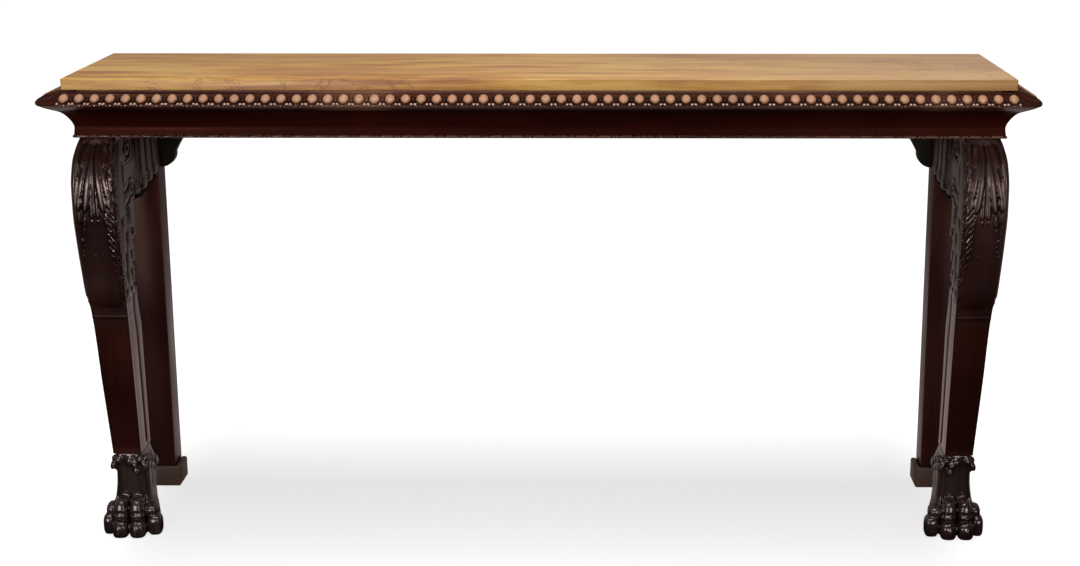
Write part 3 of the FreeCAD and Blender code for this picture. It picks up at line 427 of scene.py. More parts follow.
def named(name):
    """The object that an operator has just made, with its name."""
    obj = bpy.context.object
    obj.name = obj.data.name = name
    return obj


def corners(mesh):
    """The mesh's points as an array, in metres."""
    points = np.empty(len(mesh.vertices) * 3)
    mesh.vertices.foreach_get("co", points)
    return points.reshape(-1, 3)


def move_corners(mesh, points):
    """Points in metres written back to the mesh."""
    mesh.vertices.foreach_set("co", np.ascontiguousarray(points, dtype=np.float32).ravel())
    mesh.update()


def directions(mesh):
    """The way outward at each of the mesh's points."""
    normals = np.empty(len(mesh.vertices) * 3)
    mesh.vertex_normals.foreach_get("vector", normals)
    return normals.reshape(-1, 3)


def mark(mesh, name, values):
    """A number for each point of the mesh, as an attribute that finishes read."""
    attribute = mesh.attributes.new(name, "FLOAT", "POINT")
    attribute.data.foreach_set("value", values.astype(np.float32))


def settle(obj):
    """The object at the origin, unturned and unscaled, with its place in its mesh."""
    pick(obj)
    bpy.ops.object.transform_apply(location=True, rotation=True, scale=True)


def block(name, node):
    """A cube added at the size and place of a CAD node."""
    low, high = (np.array(corner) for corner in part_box(node))
    deselect()
    bpy.ops.mesh.primitive_cube_add(size=1, location=tuple((low + high) / 2),
                                    scale=tuple(high - low))
    obj = named(name)
    settle(obj)
    return obj


def apply_modifier(obj, kind, **values):
    """One modifier added, set and applied."""
    pick(obj)
    modifier = obj.modifiers.new(kind.title(), kind)
    for name, value in values.items():
        setattr(modifier, name, value)
    bpy.ops.object.modifier_apply(modifier=modifier.name)


def smooth(obj, angle=None):
    """Smooth shading, all over or up to an angle in degrees."""
    pick(obj)
    if angle is None:
        bpy.ops.object.shade_smooth()
    else:
        bpy.ops.object.shade_smooth_by_angle(angle=math.radians(angle))


def soften(obj, width, segments=3):
    """Arrises eased by a width in millimetres."""
    apply_modifier(obj, "BEVEL", width=width * MM, segments=segments, limit_method="ANGLE",
                   angle_limit=math.radians(25), harden_normals=False)
    smooth(obj, 40)


def outward_faces():
    """In edit mode, every face of a closed mesh turned outward."""
    bpy.ops.mesh.select_all(action="SELECT")
    bpy.ops.mesh.normals_make_consistent(inside=False)


def shaped_grid(name, across, along, place):
    """A grid laid on the closed surface that place(i, j) gives in millimetres.

    i counts cells round the piece and wraps at across; j counts cells along it. A fourth value is
    the attribute rub, how much hands have rubbed that point and how much painted highlight it takes.
    The seam is welded and both ends are filled flat."""
    deselect()
    bpy.ops.mesh.primitive_grid_add(x_subdivisions=across, y_subdivisions=along, size=1)
    obj = named(name)
    flat = corners(obj.data)
    i = np.rint((flat[:, 0] + 0.5) * across).astype(int) % across
    j = np.rint((flat[:, 1] + 0.5) * along).astype(int)
    placed = place(i, j)
    move_corners(obj.data, placed[:, :3] * MM)
    if placed.shape[1] > 3:
        mark(obj.data, "rub_and_glint", placed[:, 3])
    bpy.ops.object.mode_set(mode="EDIT")
    bpy.ops.mesh.select_all(action="SELECT")
    bpy.ops.mesh.remove_doubles(threshold=0.002 * MM)
    bpy.ops.mesh.select_all(action="SELECT")
    bpy.ops.mesh.fill_holes(sides=0)
    outward_faces()
    bpy.ops.object.mode_set(mode="OBJECT")
    return obj


def mark_relief(obj, rounds, reach):
    """The attribute relief: 0.5 on a flat, up to 1 on a ridge and 0 in a hollow.

    A point is compared with the mean of its surroundings, rounds edges wide; reach is the
    height in millimetres that counts as full relief."""
    mesh = obj.data
    points = corners(mesh)
    edges = np.empty(len(mesh.edges) * 2, dtype=np.int64)
    mesh.edges.foreach_get("vertices", edges)
    near, far = edges.reshape(-1, 2).T
    count = len(points)
    both, other = np.concatenate([near, far]), np.concatenate([far, near])
    degree = np.maximum(np.bincount(both, minlength=count), 1)
    mean = points.copy()
    for _ in range(rounds):
        total = np.stack([np.bincount(both, weights=mean[other, axis], minlength=count)
                          for axis in range(3)], -1)
        mean = (mean + total / degree[:, None]) / 2
    height = ((points - mean) * directions(mesh)).sum(1)
    mark(mesh, "relief", np.clip(0.5 + 0.5 * height / (reach * MM), 0, 1))


def dress(obj, finish, node):
    """Finish, slot, body and the CAD node that the piece stands for."""
    obj.data.materials.clear()
    obj.data.materials.append(finishes[finish])
    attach(obj, TABLE_BODY)
    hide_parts(node)


def dress_pair(right, finish, node):
    """A right-hand piece and its mirrored copy for the left, each with its own mesh, dressed.

    The piece's name ends in right, and node is the CAD nodes' name without its side."""
    pick(right)
    bpy.ops.object.duplicate(linked=False)
    left = named(right.name.replace("_right", "_left"))
    left.data.transform(Matrix.Scale(-1, 4, (1, 0, 0)))
    left.data.flip_normals()
    dress(right, finish, f"{node}_right")
    dress(left, finish, f"{node}_left")


# ---------------------------------------------------------------------------------------------
# Curves and carving functions, in millimetres


def smoothstep(low, high, x):
    """0 below low, 1 above high, and a soft rise between; low may be the greater."""
    t = np.clip((x - low) / (high - low), 0, 1)
    return t * t * (3 - 2 * t)


def dome(x):
    """A round crown: 1 at x = 0, falling like a circle to 0 at x = 1."""
    return np.sqrt(np.clip(1 - x * x, 0, 1))


def through(knots, x):
    """A smooth curve through (x, y) knots that never overshoots them."""
    kx, ky = np.array(sorted(knots), float).T
    step = np.diff(kx)
    slope = np.diff(ky) / step
    product = slope[:-1] * slope[1:]
    total = slope[:-1] + slope[1:]
    inner = np.where(product > 0, 2 * product / np.where(total == 0, 1, total), 0)
    tangent = np.concatenate([[slope[0]], inner, [slope[-1]]])
    k = np.clip(np.searchsorted(kx, x, side="right") - 1, 0, len(step) - 1)
    t = np.clip((x - kx[k]) / step[k], 0, 1)
    return (ky[k] * (1 + 2 * t) * (1 - t) ** 2 + tangent[k] * step[k] * t * (1 - t) ** 2
            + ky[k + 1] * t * t * (3 - 2 * t) + tangent[k + 1] * step[k] * t * t * (t - 1))


def bend(start, via, end, count):
    """count + 1 points of the arc from start through via to end."""
    (ax, ay), (bx, by), (cx, cy) = start, via, end
    d = 2 * (ax * (by - cy) + bx * (cy - ay) + cx * (ay - by))
    sa, sb, sc = ax * ax + ay * ay, bx * bx + by * by, cx * cx + cy * cy
    mx = (sa * (by - cy) + sb * (cy - ay) + sc * (ay - by)) / d
    my = (sa * (cx - bx) + sb * (ax - cx) + sc * (bx - ax)) / d
    angles = [math.atan2(y - my, x - mx) for x, y in (start, via, end)]
    sweep = (angles[2] - angles[0]) % math.tau
    if (angles[1] - angles[0]) % math.tau > sweep:
        sweep -= math.tau
    radius = math.hypot(ax - mx, ay - my)
    turn = angles[0] + sweep * np.linspace(0, 1, count + 1)
    return np.stack([mx + radius * np.cos(turn), my + radius * np.sin(turn)], -1)


class Section:
    """A closed moulding section: points, outward normals and, on the carved run, its share."""

    def __init__(self):
        self.points, self.normals, self.share = [], [], []

    def run(self, path, carved=False):
        """A run of points, without its last one, which the next run starts with."""
        path = np.asarray(path, float)
        heading = np.gradient(path, axis=0)
        heading /= np.linalg.norm(heading, axis=1)[:, None]
        outward = np.stack([-heading[:, 1], heading[:, 0]], -1)
        share = np.linspace(0, 1, len(path)) if carved else np.full(len(path), -1.0)
        self.points.append(path[:-1])
        self.normals.append(outward[:-1])
        self.share.append(share[:-1])

    def line(self, start, end, count):
        """A straight run of count cells."""
        t = np.linspace(0, 1, count + 1)[:, None]
        self.run(np.array(start) * (1 - t) + np.array(end) * t)

    def close(self):
        """The section's arrays."""
        return (np.concatenate(self.points), np.concatenate(self.normals),
                np.concatenate(self.share))


def mould(name, section, stations, carve, side, fan):
    """A length of moulding, mitred where it meets its neighbour.

    stations run along the length from its middle; carve(station, share, out) is the height of the
    carving and how much it is rubbed or takes a painted highlight; the last cells beyond fan spread
    to the mitre. side is 0 for the front and 1 for the right-hand side, which is mitred at the front
    end only."""
    points, normals, share = section
    stations = np.asarray(stations, float)

    def place(i, j):
        height, rub_and_glint = carve(stations[j], share[i], points[i, 0])
        height = np.where(share[i] >= 0, height, 0)
        rub_and_glint = np.where(share[i] >= 0, rub_and_glint, 0)
        out, rise = (points[i] + normals[i] * height[:, None]).T
        if side == 0:
            mitre = EDGE_X + out
            far = np.abs(stations[j])
            span = (far - fan) / (stations.max() - fan)
            along = np.where(far > fan, fan + span * (mitre - fan), far) * np.sign(stations[j])
            return np.stack([along, FRONT_Y - out, rise, rub_and_glint], -1)
        mitre = FRONT_Y - out
        near = stations[j]
        span = (fan - near) / (fan - stations.min())
        along = np.where(near < fan, fan + span * (mitre - fan), near)
        return np.stack([EDGE_X + out, along, rise, rub_and_glint], -1)

    return shaped_grid(name, len(points), len(stations) - 1, place)


def plain(station, share, out):
    """No carving."""
    return np.zeros_like(share), np.zeros_like(share)


# ---------------------------------------------------------------------------------------------
# Mouldings


EDGE_FLAT = (1.4, 893.0)
OVOLO_VIA, OVOLO_LOW = (24.0, 888.4), (35.9, 880.8)
NOSE_VIA, NOSE_END = (38.2, 875.8), (33.2, 868.0)
SOFFIT_BREAK = (26.5, 863.6)
EGG_GROUND = 6.0  # depth of the ground between the eggs
EGG_CELLS = 24  # mesh cells to one egg's pitch
FIRST_SIDE_EGG = -159.0
LEAF_ZONE = 889.5  # where the front's last egg ends and the corner's leaf starts
LEAF_RUN = 24.0  # from there to the mitre, before the cells spread to it
LEAF_CELLS = np.linspace(0, LEAF_RUN, 17)


def edge_section():
    """Flat, ovolo, nose and soffit of the edge moulding."""
    section = Section()
    section.line((RAIL_FACE, FRIEZE_TOP), (RAIL_FACE, SEAT), 2)
    section.line((RAIL_FACE, SEAT), EDGE_FLAT, 3)
    ovolo = bend(EDGE_FLAT, OVOLO_VIA, OVOLO_LOW, 28)
    nose = bend(OVOLO_LOW, NOSE_VIA, NOSE_END, 11)
    section.run(np.concatenate([ovolo, nose[1:]]), carved=True)
    section.line(NOSE_END, SOFFIT_BREAK, 2)
    section.line(SOFFIT_BREAK, (FRIEZE_LIP, FRIEZE_TOP), 3)
    section.line((FRIEZE_LIP, FRIEZE_TOP), (RAIL_FACE, FRIEZE_TOP), 2)
    return section.close()


def from_nearest(station, middle, pitch):
    """The way to a station from the nearest middle of a row at a pitch."""
    return (station - middle + pitch / 2) % pitch - pitch / 2


def egg_and_dart(offset, share, egg_width, pitch):
    """Height and rub of the carving at an offset from the nearest egg's middle."""
    half = egg_width / 2 + 0.6
    side = np.abs(offset)
    shape = np.hypot(side / half, (share - 0.63) / 0.36)
    egg = 8.0 * dome(shape) - EGG_GROUND
    # Shell: a thin rim that cups the egg and is open at the top.
    ring = np.hypot(side / (half + 2.6), (share - 0.60) / 0.47)
    rim = np.where(share > 0.42, dome((ring - 1) / 0.09) * 2.4 - EGG_GROUND, -EGG_GROUND)
    # Dart: a thin tongue half way between two eggs, with a knob at each side of its tip.
    gap = pitch / 2 - side
    dart = np.where(share < 0.97, dome(gap / (1.5 * np.clip(1.15 - share, 0.15, 1))) * 2.6, 0)
    dart = np.where(share > 0.36, dart - EGG_GROUND, -EGG_GROUND)
    knob = 5.8 * dome(np.hypot((gap - 3.4) / 2.7, (share - 0.9) / 0.06))
    height = np.maximum.reduce([egg, rim, dart, knob - EGG_GROUND])
    # An egg's crown rubs to 1, worn and with a painted highlight that fades to its edge, and a knob
    # goes past that, to a pale painted glint.
    crown = np.hypot(side / half, (share - 0.62) / 0.22)
    rub_and_glint = np.maximum(smoothstep(1.15, 0.55, crown), 3 * smoothstep(2.0, 5.0, knob))
    return height * smoothstep(0.0, 0.06, share) * smoothstep(1.0, 0.96, share), rub_and_glint


def mitre_leaf(beyond, share, out):
    """Height and rub of the small leaf round each mitred corner; beyond is 1 at the mitre."""
    width = np.maximum(out, 1) * (1 - beyond)
    spread = 13 * np.sin(math.pi * np.clip(share, 0, 1)) ** 0.6 + 2
    body = dome(width / spread)
    veins = 0.5 + 0.5 * np.cos(math.tau * (share * 6 + width / 8))
    rib = 0.6 * dome(width / 1.8) * (body > 0)
    height = body * (4.8 + 0.35 * veins) - EGG_GROUND + rib
    height = height * smoothstep(0.0, 0.08, share) * smoothstep(0.95, 0.75, share)
    return height, np.full_like(share, -1.0)


def build_edge():
    """The egg-and-dart edge, in three mitred lengths."""
    values = settings().moulding
    pitch, width = values.egg_pitch / MM, values.egg_width / MM
    section = edge_section()
    eggs = values.egg_count
    middle = 0 if eggs % 2 else pitch / 2

    def along_front(station, share, out):
        far = np.abs(station)
        beyond = np.clip((far - LEAF_ZONE) / LEAF_RUN, 0, 1)
        carved = egg_and_dart(from_nearest(station, middle, pitch), share, width, pitch)
        return np.where(far > LEAF_ZONE, mitre_leaf(beyond, share, out), carved)

    half = eggs * pitch / 2
    straight = np.linspace(-half, half, eggs * EGG_CELLS + 1)
    straight = straight[np.abs(straight) < LEAF_ZONE]
    ends = LEAF_ZONE + LEAF_CELLS
    stations = np.concatenate([-ends[::-1], straight, ends])
    front = mould("edge_front", section, stations, along_front, 0, LEAF_ZONE)

    start = FIRST_SIDE_EGG - pitch / 2 - 2
    last = FIRST_SIDE_EGG + (values.side_egg_count - 0.5) * pitch

    def along_side(station, share, out):
        beyond = np.clip((start - station) / LEAF_RUN, 0, 1)
        offset = from_nearest(station, FIRST_SIDE_EGG, pitch)
        carved = egg_and_dart(offset, share, width, pitch)
        # Past the last egg the ground runs on to the back.
        ground = -EGG_GROUND * smoothstep(0.0, 0.06, share) * smoothstep(1.0, 0.96, share)
        carved = np.where(station > last, (ground, 0 * ground), carved)
        return np.where(station < start, mitre_leaf(beyond, share, out), carved)

    run = np.arange(start, FRAME_BACK_Y, pitch / EGG_CELLS)
    stations = np.concatenate([start - LEAF_CELLS[:0:-1], run, [FRAME_BACK_Y]])
    right = mould("edge_right", section, stations, along_side, 1, start)
    for length in (front, right):
        mark_relief(length, 14, 1.6)
        smooth(length, 50)
    dress(front, "edge", "edge_moulding_front")
    dress_pair(right, "edge", "edge_moulding")


FRIEZE_FLOOR = -15.0  # how far behind the marble's edge the frieze's foot lies
FRIEZE_KNOTS = [(FRIEZE_TOP, FRIEZE_LIP), (853.5, 5.0), (850.0, 0.3), (844, -5.3), (837, -10.0),
                (830, -13.8), (821, -16.3), (FRIEZE_FOOT, FRIEZE_FLOOR)]
FRIEZE_FAN, FRIEZE_END = 850.0, 900.0  # where the cells start to spread to the mitre, and end
FRIEZE_SIDE_FAN, FRIEZE_SIDE_END = -130.0, -180.0


def frieze_section():
    """The hollow frieze board, which flares out under the edge."""
    section = Section()
    section.line((RAIL_FACE, FRIEZE_FOOT), (RAIL_FACE, FRIEZE_TOP), 1)
    section.line((RAIL_FACE, FRIEZE_TOP), (FRIEZE_LIP, FRIEZE_TOP), 1)
    heights = np.linspace(FRIEZE_TOP, FRIEZE_FOOT, 25)
    section.run(np.stack([through(FRIEZE_KNOTS, heights), heights], -1))
    section.line((FRIEZE_FLOOR, FRIEZE_FOOT), (RAIL_FACE, FRIEZE_FOOT), 1)
    return section.close()


def build_frieze():
    """Frieze boards: one in front, one on each side, mitred."""
    section = frieze_section()
    inner = np.linspace(-FRIEZE_FAN, FRIEZE_FAN, 35)
    stations = np.concatenate([[-FRIEZE_END], inner, [FRIEZE_END]])
    front = mould("frieze_board_front", section, stations, plain, 0, FRIEZE_FAN)
    inner = np.linspace(FRIEZE_SIDE_FAN, FRAME_BACK_Y, 12)
    stations = np.concatenate([[FRIEZE_SIDE_END], inner])
    right = mould("frieze_board_right", section, stations, plain, 1, FRIEZE_SIDE_FAN)
    for board in (front, right):
        smooth(board, 40)
    dress(front, "frieze", "frieze_front")
    dress_pair(right, "frieze", "frieze")


BEAD_MIDDLE = 804.0
BEAD_CORE = -15.4
BEAD_RADIUS = 2.9  # of the half-round, and of the small beads along it
SPINDLE_HALF = 12.5  # half the length of a spindle
BEAD_CELLS = 34  # mesh cells to one spindle and its beads
BEAD_FAN, BEAD_END = 874.0, 882.0  # as on the frieze
BEAD_SIDE_FAN, BEAD_SIDE_END = -155.0, -161.0


def bead_section():
    """Half-round bead on a thin fillet."""
    section = Section()
    section.line((RAIL_FACE, FRAME_FOOT), (RAIL_FACE, FRIEZE_FOOT), 1)
    section.line((RAIL_FACE, FRIEZE_FOOT), (BEAD_CORE, FRIEZE_FOOT), 1)
    section.run(bend((BEAD_CORE, FRIEZE_FOOT), (BEAD_CORE + BEAD_RADIUS, BEAD_MIDDLE),
                     (BEAD_CORE, FRAME_FOOT), 10), carved=True)
    section.line((BEAD_CORE, FRAME_FOOT), (RAIL_FACE, FRAME_FOOT), 1)
    return section.close()


def spindle_and_beads(station, pitch):
    """Height and rub of the bead's carving: a long spindle, then two round beads."""
    offset = np.abs(from_nearest(station, 0, pitch))
    spindle = dome(offset / SPINDLE_HALF) ** 0.7
    near = np.abs(offset - pitch / 2 + BEAD_RADIUS)
    full = np.maximum(spindle * (offset < SPINDLE_HALF), dome(near / BEAD_RADIUS))
    return -2.4 * (1 - full), full


def build_beads():
    """Carved beads under the frieze."""
    pitch = settings().moulding.bead_pitch / MM
    section = bead_section()

    def carve(station, share, out):
        return spindle_and_beads(station, pitch)

    inner = np.arange(-BEAD_FAN, BEAD_FAN + 0.1, pitch / BEAD_CELLS)
    stations = np.concatenate([[-BEAD_END], inner, [BEAD_END]])
    front = mould("bead_front", section, stations, carve, 0, BEAD_FAN)
    inner = np.arange(BEAD_SIDE_FAN, FRAME_BACK_Y, pitch / BEAD_CELLS)
    stations = np.concatenate([[BEAD_SIDE_END], inner, [FRAME_BACK_Y]])
    right = mould("bead_right", section, stations, carve, 1, BEAD_SIDE_FAN)
    for length in (front, right):
        mark_relief(length, 8, 0.8)
        smooth(length, 50)
    dress(front, "bead", "frieze_bead_front")
    dress_pair(right, "bead", "frieze_bead")


# ---------------------------------------------------------------------------------------------
# Columns of a four-sided piece


def face_and_share(i, cells):
    """The face that column i lies on, from 0, and its share of the way along that face."""
    starts = np.cumsum((0,) + cells)
    face = np.searchsorted(starts, i, side="right") - 1
    return face, (i - starts[face]) / np.array(cells)[face]


def round_box(face, part, u0, u1, v0, v1, crowding=1.0):
    """A place on a box's outline: face 0 lies at v0, 1 at u1, 2 at v1 and 3 at u0.

    A crowding over 1 draws the columns of faces 1 and 3 toward v0."""
    side = np.where(face == 1, part, 1 - part) ** crowding
    u = np.select([face == 0, face == 1, face == 2],
                  [u0 + (u1 - u0) * part, u1, u1 + (u0 - u1) * part], u0)
    return u, np.select([face == 0, face == 2], [v0, v1], v0 + (v1 - v0) * side)


# ---------------------------------------------------------------------------------------------
# Front legs. Knots pair a height with a place: out from the table's middle, or back from the
# marble's front.


STUMP = (800.0, 861.0, -141.0, -66.0)  # inner, outer, front and back of the stump in the frame
LEDGE_Z = 447.0
CARVING_FOOT = 468.0  # top of the plain shank
SHANK_TOP, LEAF_FOOT, EAR_FOOT = 476.0, 482.0, 484.0
OUTER_KNOTS = [(FRAME_FOOT, 868), (755, 879.5), (709, 883), (657, 883.6), (606, 882.4),
               (540, 879.6), (481, 875.4), (CARVING_FOOT, 871.2), (310, 861.8), (PAW_TOP, 851.5)]
INNER_KNOTS = [(FRAME_FOOT, 800), (CARVING_FOOT, 800), (PAW_TOP, 796)]
FRONT_KNOTS = [(FRAME_FOOT, 14), (755, -4), (709, -10), (657, -8.5), (606, -2), (540, 8.5),
               (481, 18), (CARVING_FOOT, 24), (392, 32), (315, 37), (240, 41), (PAW_TOP, 44)]
REAR_KNOTS = [(FRAME_FOOT, 150), (616, 150), (585, 132.5), (551, 124), (510, 116.5),
              (CARVING_FOOT, 114), (437, 122), (406, 131), (285, 129.5), (PAW_TOP, 128)]
GROOVE_KNOTS = [(FRAME_FOOT, 60), (700, 60), (640, 66), (601, 67), (569, 77), (LEDGE_Z, 80),
                (415, 87), (386, 91), (PAW_TOP, 96)]
# Here a height is paired with the width of the ears, and with the pitch of the stacked leaves.
EAR_SPAN = [(EAR_FOOT, 5), (500, 10), (560, 17), (620, 21), (660, 22), (720, 15),
            (FRAME_FOOT, 12)]
COURSE_KNOTS = [(480, 19), (560, 23), (640, 28), (FRAME_FOOT, 28)]
PANEL_Z = 723.0  # middle of the plain panel between the two scrolls
LEG_CELLS = (54, 76, 14, 76)  # mesh cells across the front, outer side, back and inner side
SIDE_CROWDING = 1.25
NO_CUT = -9.0  # deeper than any carving, so that whatever else is there shows


# Lobes: sideways and height of the start, the same of the tip, half width, and rise at the tip
LEAF_LOBES = [
    (4, 770, 18, 664, 8.0, 0.3), (16, 756, 29, 688, 7.0, 0.0), (34, 764, 31, 668, 9.5, 0.25),
    (5, 700, 6, 650, 4.5, -0.35), (17, 672, 22, 634, 5.0, -0.4), (30, 684, 33, 640, 6.5, -0.35),
    (10, 804, 24, 748, 7.0, -0.3), (27, 804, 38, 748, 7.5, -0.3)]
EAR_LEAVES = [  # the same, with the distance from the arris for sideways
    (9, 798, 3, 764, 5.0, 0), (12, 780, 6, 742, 5.0, 0), (7, 756, 2, 722, 5.5, 0),
    (12, 736, 6, 700, 5.5, 0), (8, 708, 1, 676, 6.0, 0), (14, 694, 8, 660, 5.0, 0),
    (8, 664, 2, 630, 6.5, 0), (14, 648, 7, 614, 5.5, 0), (8, 618, 1, 582, 8.0, 0),
    (12, 600, 6, 566, 7.0, 0), (7, 572, 1, 536, 8.0, 0), (10, 556, 5, 522, 7.0, 0),
    (5, 528, 0, 490, 8.0, 0)]
SIDE_LEAVES = [  # as the ear's leaves, over the whole depth of the side below the groove
    (76, 672, 56, 612, 20, 0.2), (112, 672, 108, 612, 19, 0.3),
    (56, 636, 34, 572, 20, 0.3), (92, 634, 82, 570, 20, 0.2), (122, 640, 124, 590, 12, 0.1),
    (40, 596, 24, 536, 17, 0.2), (72, 594, 62, 534, 19, 0.3), (100, 592, 96, 545, 12, 0.1),
    (32, 556, 22, 500, 15, 0.3), (62, 554, 54, 500, 17, 0.2), (86, 552, 82, 506, 10, 0.1),
    (46, 522, 38, 482, 14, 0.2), (72, 520, 66, 484, 12, 0.2)]
SCROLLS = [(770, 104, 27, 16), (686, 116, 20, 13)]  # height, place, radius and pitch of a turn


def lobes(side, height_z, table, power):
    """Height of overlapping lobes, from -1 beside them up to the rise at each tip.

    With a power under 1 a lobe swells near its start, with more it swells toward its tip."""
    best = np.full_like(side, -1.0)
    for start, high, tip, low, half, rise in table:
        run, drop = tip - start, low - high
        long = math.hypot(run, drop)
        along = ((side - start) * run + (height_z - high) * drop) / long ** 2
        across = ((side - start) * drop - (height_z - high) * run) / long
        width = half * np.sqrt(np.clip(along, 0, 1) * np.clip((1.02 - along) / 0.14, 0, 1))
        crest = dome(across / np.maximum(width, 0.1)) ** 0.7
        lift = 0.12 + (0.88 + rise) * np.clip(along, 0, 1) ** power
        best = np.maximum(best, crest * lift - 1)
    return best


def in_turns(count, fill):
    """1 in the middle of each turn of a count, falling round to 0 toward the next."""
    return dome((count - np.floor(count) - 0.5) / fill)


def knee_leaf(lateral, height_z, cut):
    """Leaf on the front of the knee: long lobes that spread down and outward from its rib."""
    far = np.abs(lateral)
    height = cut * lobes(far, height_z, LEAF_LOBES, 1.2)
    height = height - 2.0 * dome(far / 2.4) * smoothstep(655, 690, height_z)
    foot = 626 + 0.35 * far
    inside = smoothstep(foot - 4, foot + 4, height_z)
    ground = -cut * smoothstep(481, 645, height_z)
    return height * inside + np.maximum(ground, height) * (1 - inside)


def fringe(edge, height_z, inner):
    """Ear of leaves along an arris; edge is the way to the arris.

    The ear is cut deep over a fan of fine strokes along the inner arris, and stays full and
    quiet along the outer one."""
    leaves = lobes(np.abs(edge), height_z, EAR_LEAVES, 0.5)
    away = np.where(edge > 0, edge / 1.8, -edge)
    stroke = dome(2 * ((away - 0.75 * height_z) / 9.5 % 1) - 1)
    reach = away / np.maximum(through(EAR_SPAN, height_z), 0.1)
    fan = np.where(reach < 1, 3.6 * stroke * dome(reach) ** 0.6 - 3.2, NO_CUT)
    cut = np.maximum(fan, np.where(leaves > -0.97, 4.8 * leaves + 1.4, NO_CUT))
    full = np.where((height_z > 490) & (edge < 6), 6.6 * smoothstep(17, 3, away) - 5.0, NO_CUT)
    return np.where(inner, cut, full)


def side_carving(from_arris, behind_face, height_z, groove, rear):
    """Side of the leg: a hollow band, a deep groove, and scrolls over stacked leaves behind it."""
    knee = smoothstep(470, 500, height_z)
    band = -1.8 * np.sin(math.pi * np.clip(from_arris / groove, 0, 1)) * knee
    band = band - 3.0 * smoothstep(42, 30, from_arris) * smoothstep(2, 10, from_arris) * knee
    shank_band = -2.6 * (1 - dome((from_arris - groove / 2) / (groove / 2))) * (1 - knee)
    deep = 6.0 * smoothstep(760, 742, height_z) * smoothstep(640, 656, height_z)
    height = band + shank_band - deep * dome((from_arris - groove) / 6.5)
    # Behind the groove: leaves that rise to the back, smaller toward the shank
    middle = (groove + 3 + rear) / 2
    half = np.maximum((rear - groove - 3) / 2, 1)
    across = (from_arris - middle) / half
    course = (height_z - 0.42 * (behind_face - 110) + 3 * np.sin(behind_face / 11))
    leaf = in_turns(course / through(COURSE_KNOTS, height_z), 0.44) ** 0.7
    column = -5.6 + 5.6 * leaf * dome(across) ** 0.7
    from_panel = np.abs(height_z - PANEL_Z)
    panel = -1.0 - 2.2 * dome((from_panel - 17) / 3) * (np.abs(across) < 0.92)
    column = np.where(from_panel < 20, panel, column)
    for high, back, radius, turn in SCROLLS:
        aside, up = behind_face - back, height_z - high
        reach = np.hypot(aside, up)
        ridge = in_turns(reach / turn + np.arctan2(up, aside) / math.tau, 0.36) ** 0.7
        column = np.where(reach < radius, -4.6 + 4.9 * ridge, column)
    roll = -2.0 + 2.0 * dome(across)
    height = np.where(from_arris > groove + 6, column * knee + roll * (1 - knee), height)
    # Below the groove: large leaves over the whole side, up to a line that climbs to the back
    line = 655 - 0.5 * np.clip(groove - from_arris, 0, None)
    low = (height_z < line) & (height_z > EAR_FOOT) & (from_arris > 13)
    leaves = 5.0 * lobes(from_arris, height_z, SIDE_LEAVES, 0.5)
    leaves = leaves * smoothstep(LEAF_FOOT, 500, height_z) * smoothstep(13, 19, from_arris)
    return np.where(low, leaves, height)


def leg_carving(face, lateral, half, from_arris, y, z, y0, y1, cut):
    """Height of all carving; lateral is across the front, from its middle to half at an arris."""
    on_front, on_side = face == 0, (face == 1) | (face == 3)
    carved = smoothstep(CARVING_FOOT, LEAF_FOOT, z)
    spread = np.where(on_front, np.abs(lateral), half + from_arris)
    leaf = knee_leaf(spread, z, cut) * smoothstep(half + 16, half + 8, spread)
    groove = through(GROOVE_KNOTS, z) - y0
    sides = side_carving(from_arris, y, z, groove, y1 - y0) * smoothstep(4, 14, from_arris)
    sides = sides + leaf * carved * smoothstep(16, 6, from_arris)
    height = np.where(on_front, np.where(z > LEAF_FOOT, leaf, 0), sides)
    ear = fringe(spread - half, z, (face == 3) | (on_front & (lateral < 0)))
    height = np.where((z > EAR_FOOT) & (face != 2), np.maximum(height, ear), height)
    height = np.where(face == 2, -0.5 * carved, height)
    # Ledge under the leaf, over the plain shank
    ledge = 0.6 * dome((z - LEDGE_Z) / 3.0)
    step = smoothstep(LEDGE_Z - 1, LEDGE_Z + 1, z) - 1.0
    round_side = ledge * smoothstep(groove, groove - 6, from_arris)
    height = np.where((z < SHANK_TOP) & on_front, ledge + step, height)
    height = np.where((z < SHANK_TOP) & on_side, height + round_side, height)
    # Plain where it meets the frame and the paw
    height = height * smoothstep(FRAME_FOOT, FRAME_FOOT - 16, z)
    return height * smoothstep(PAW_TOP, PAW_TOP + 14, z)


def leg_rows():
    """Heights of the leg's rows: close where it is carved, wider on the plain shank."""
    shank = np.linspace(PAW_TOP, 430, 62)
    ledge = np.linspace(430, SHANK_TOP, 24)[1:]
    knee = np.linspace(SHANK_TOP, FRAME_FOOT, 202)[1:]
    return np.concatenate([shank, ledge, knee])


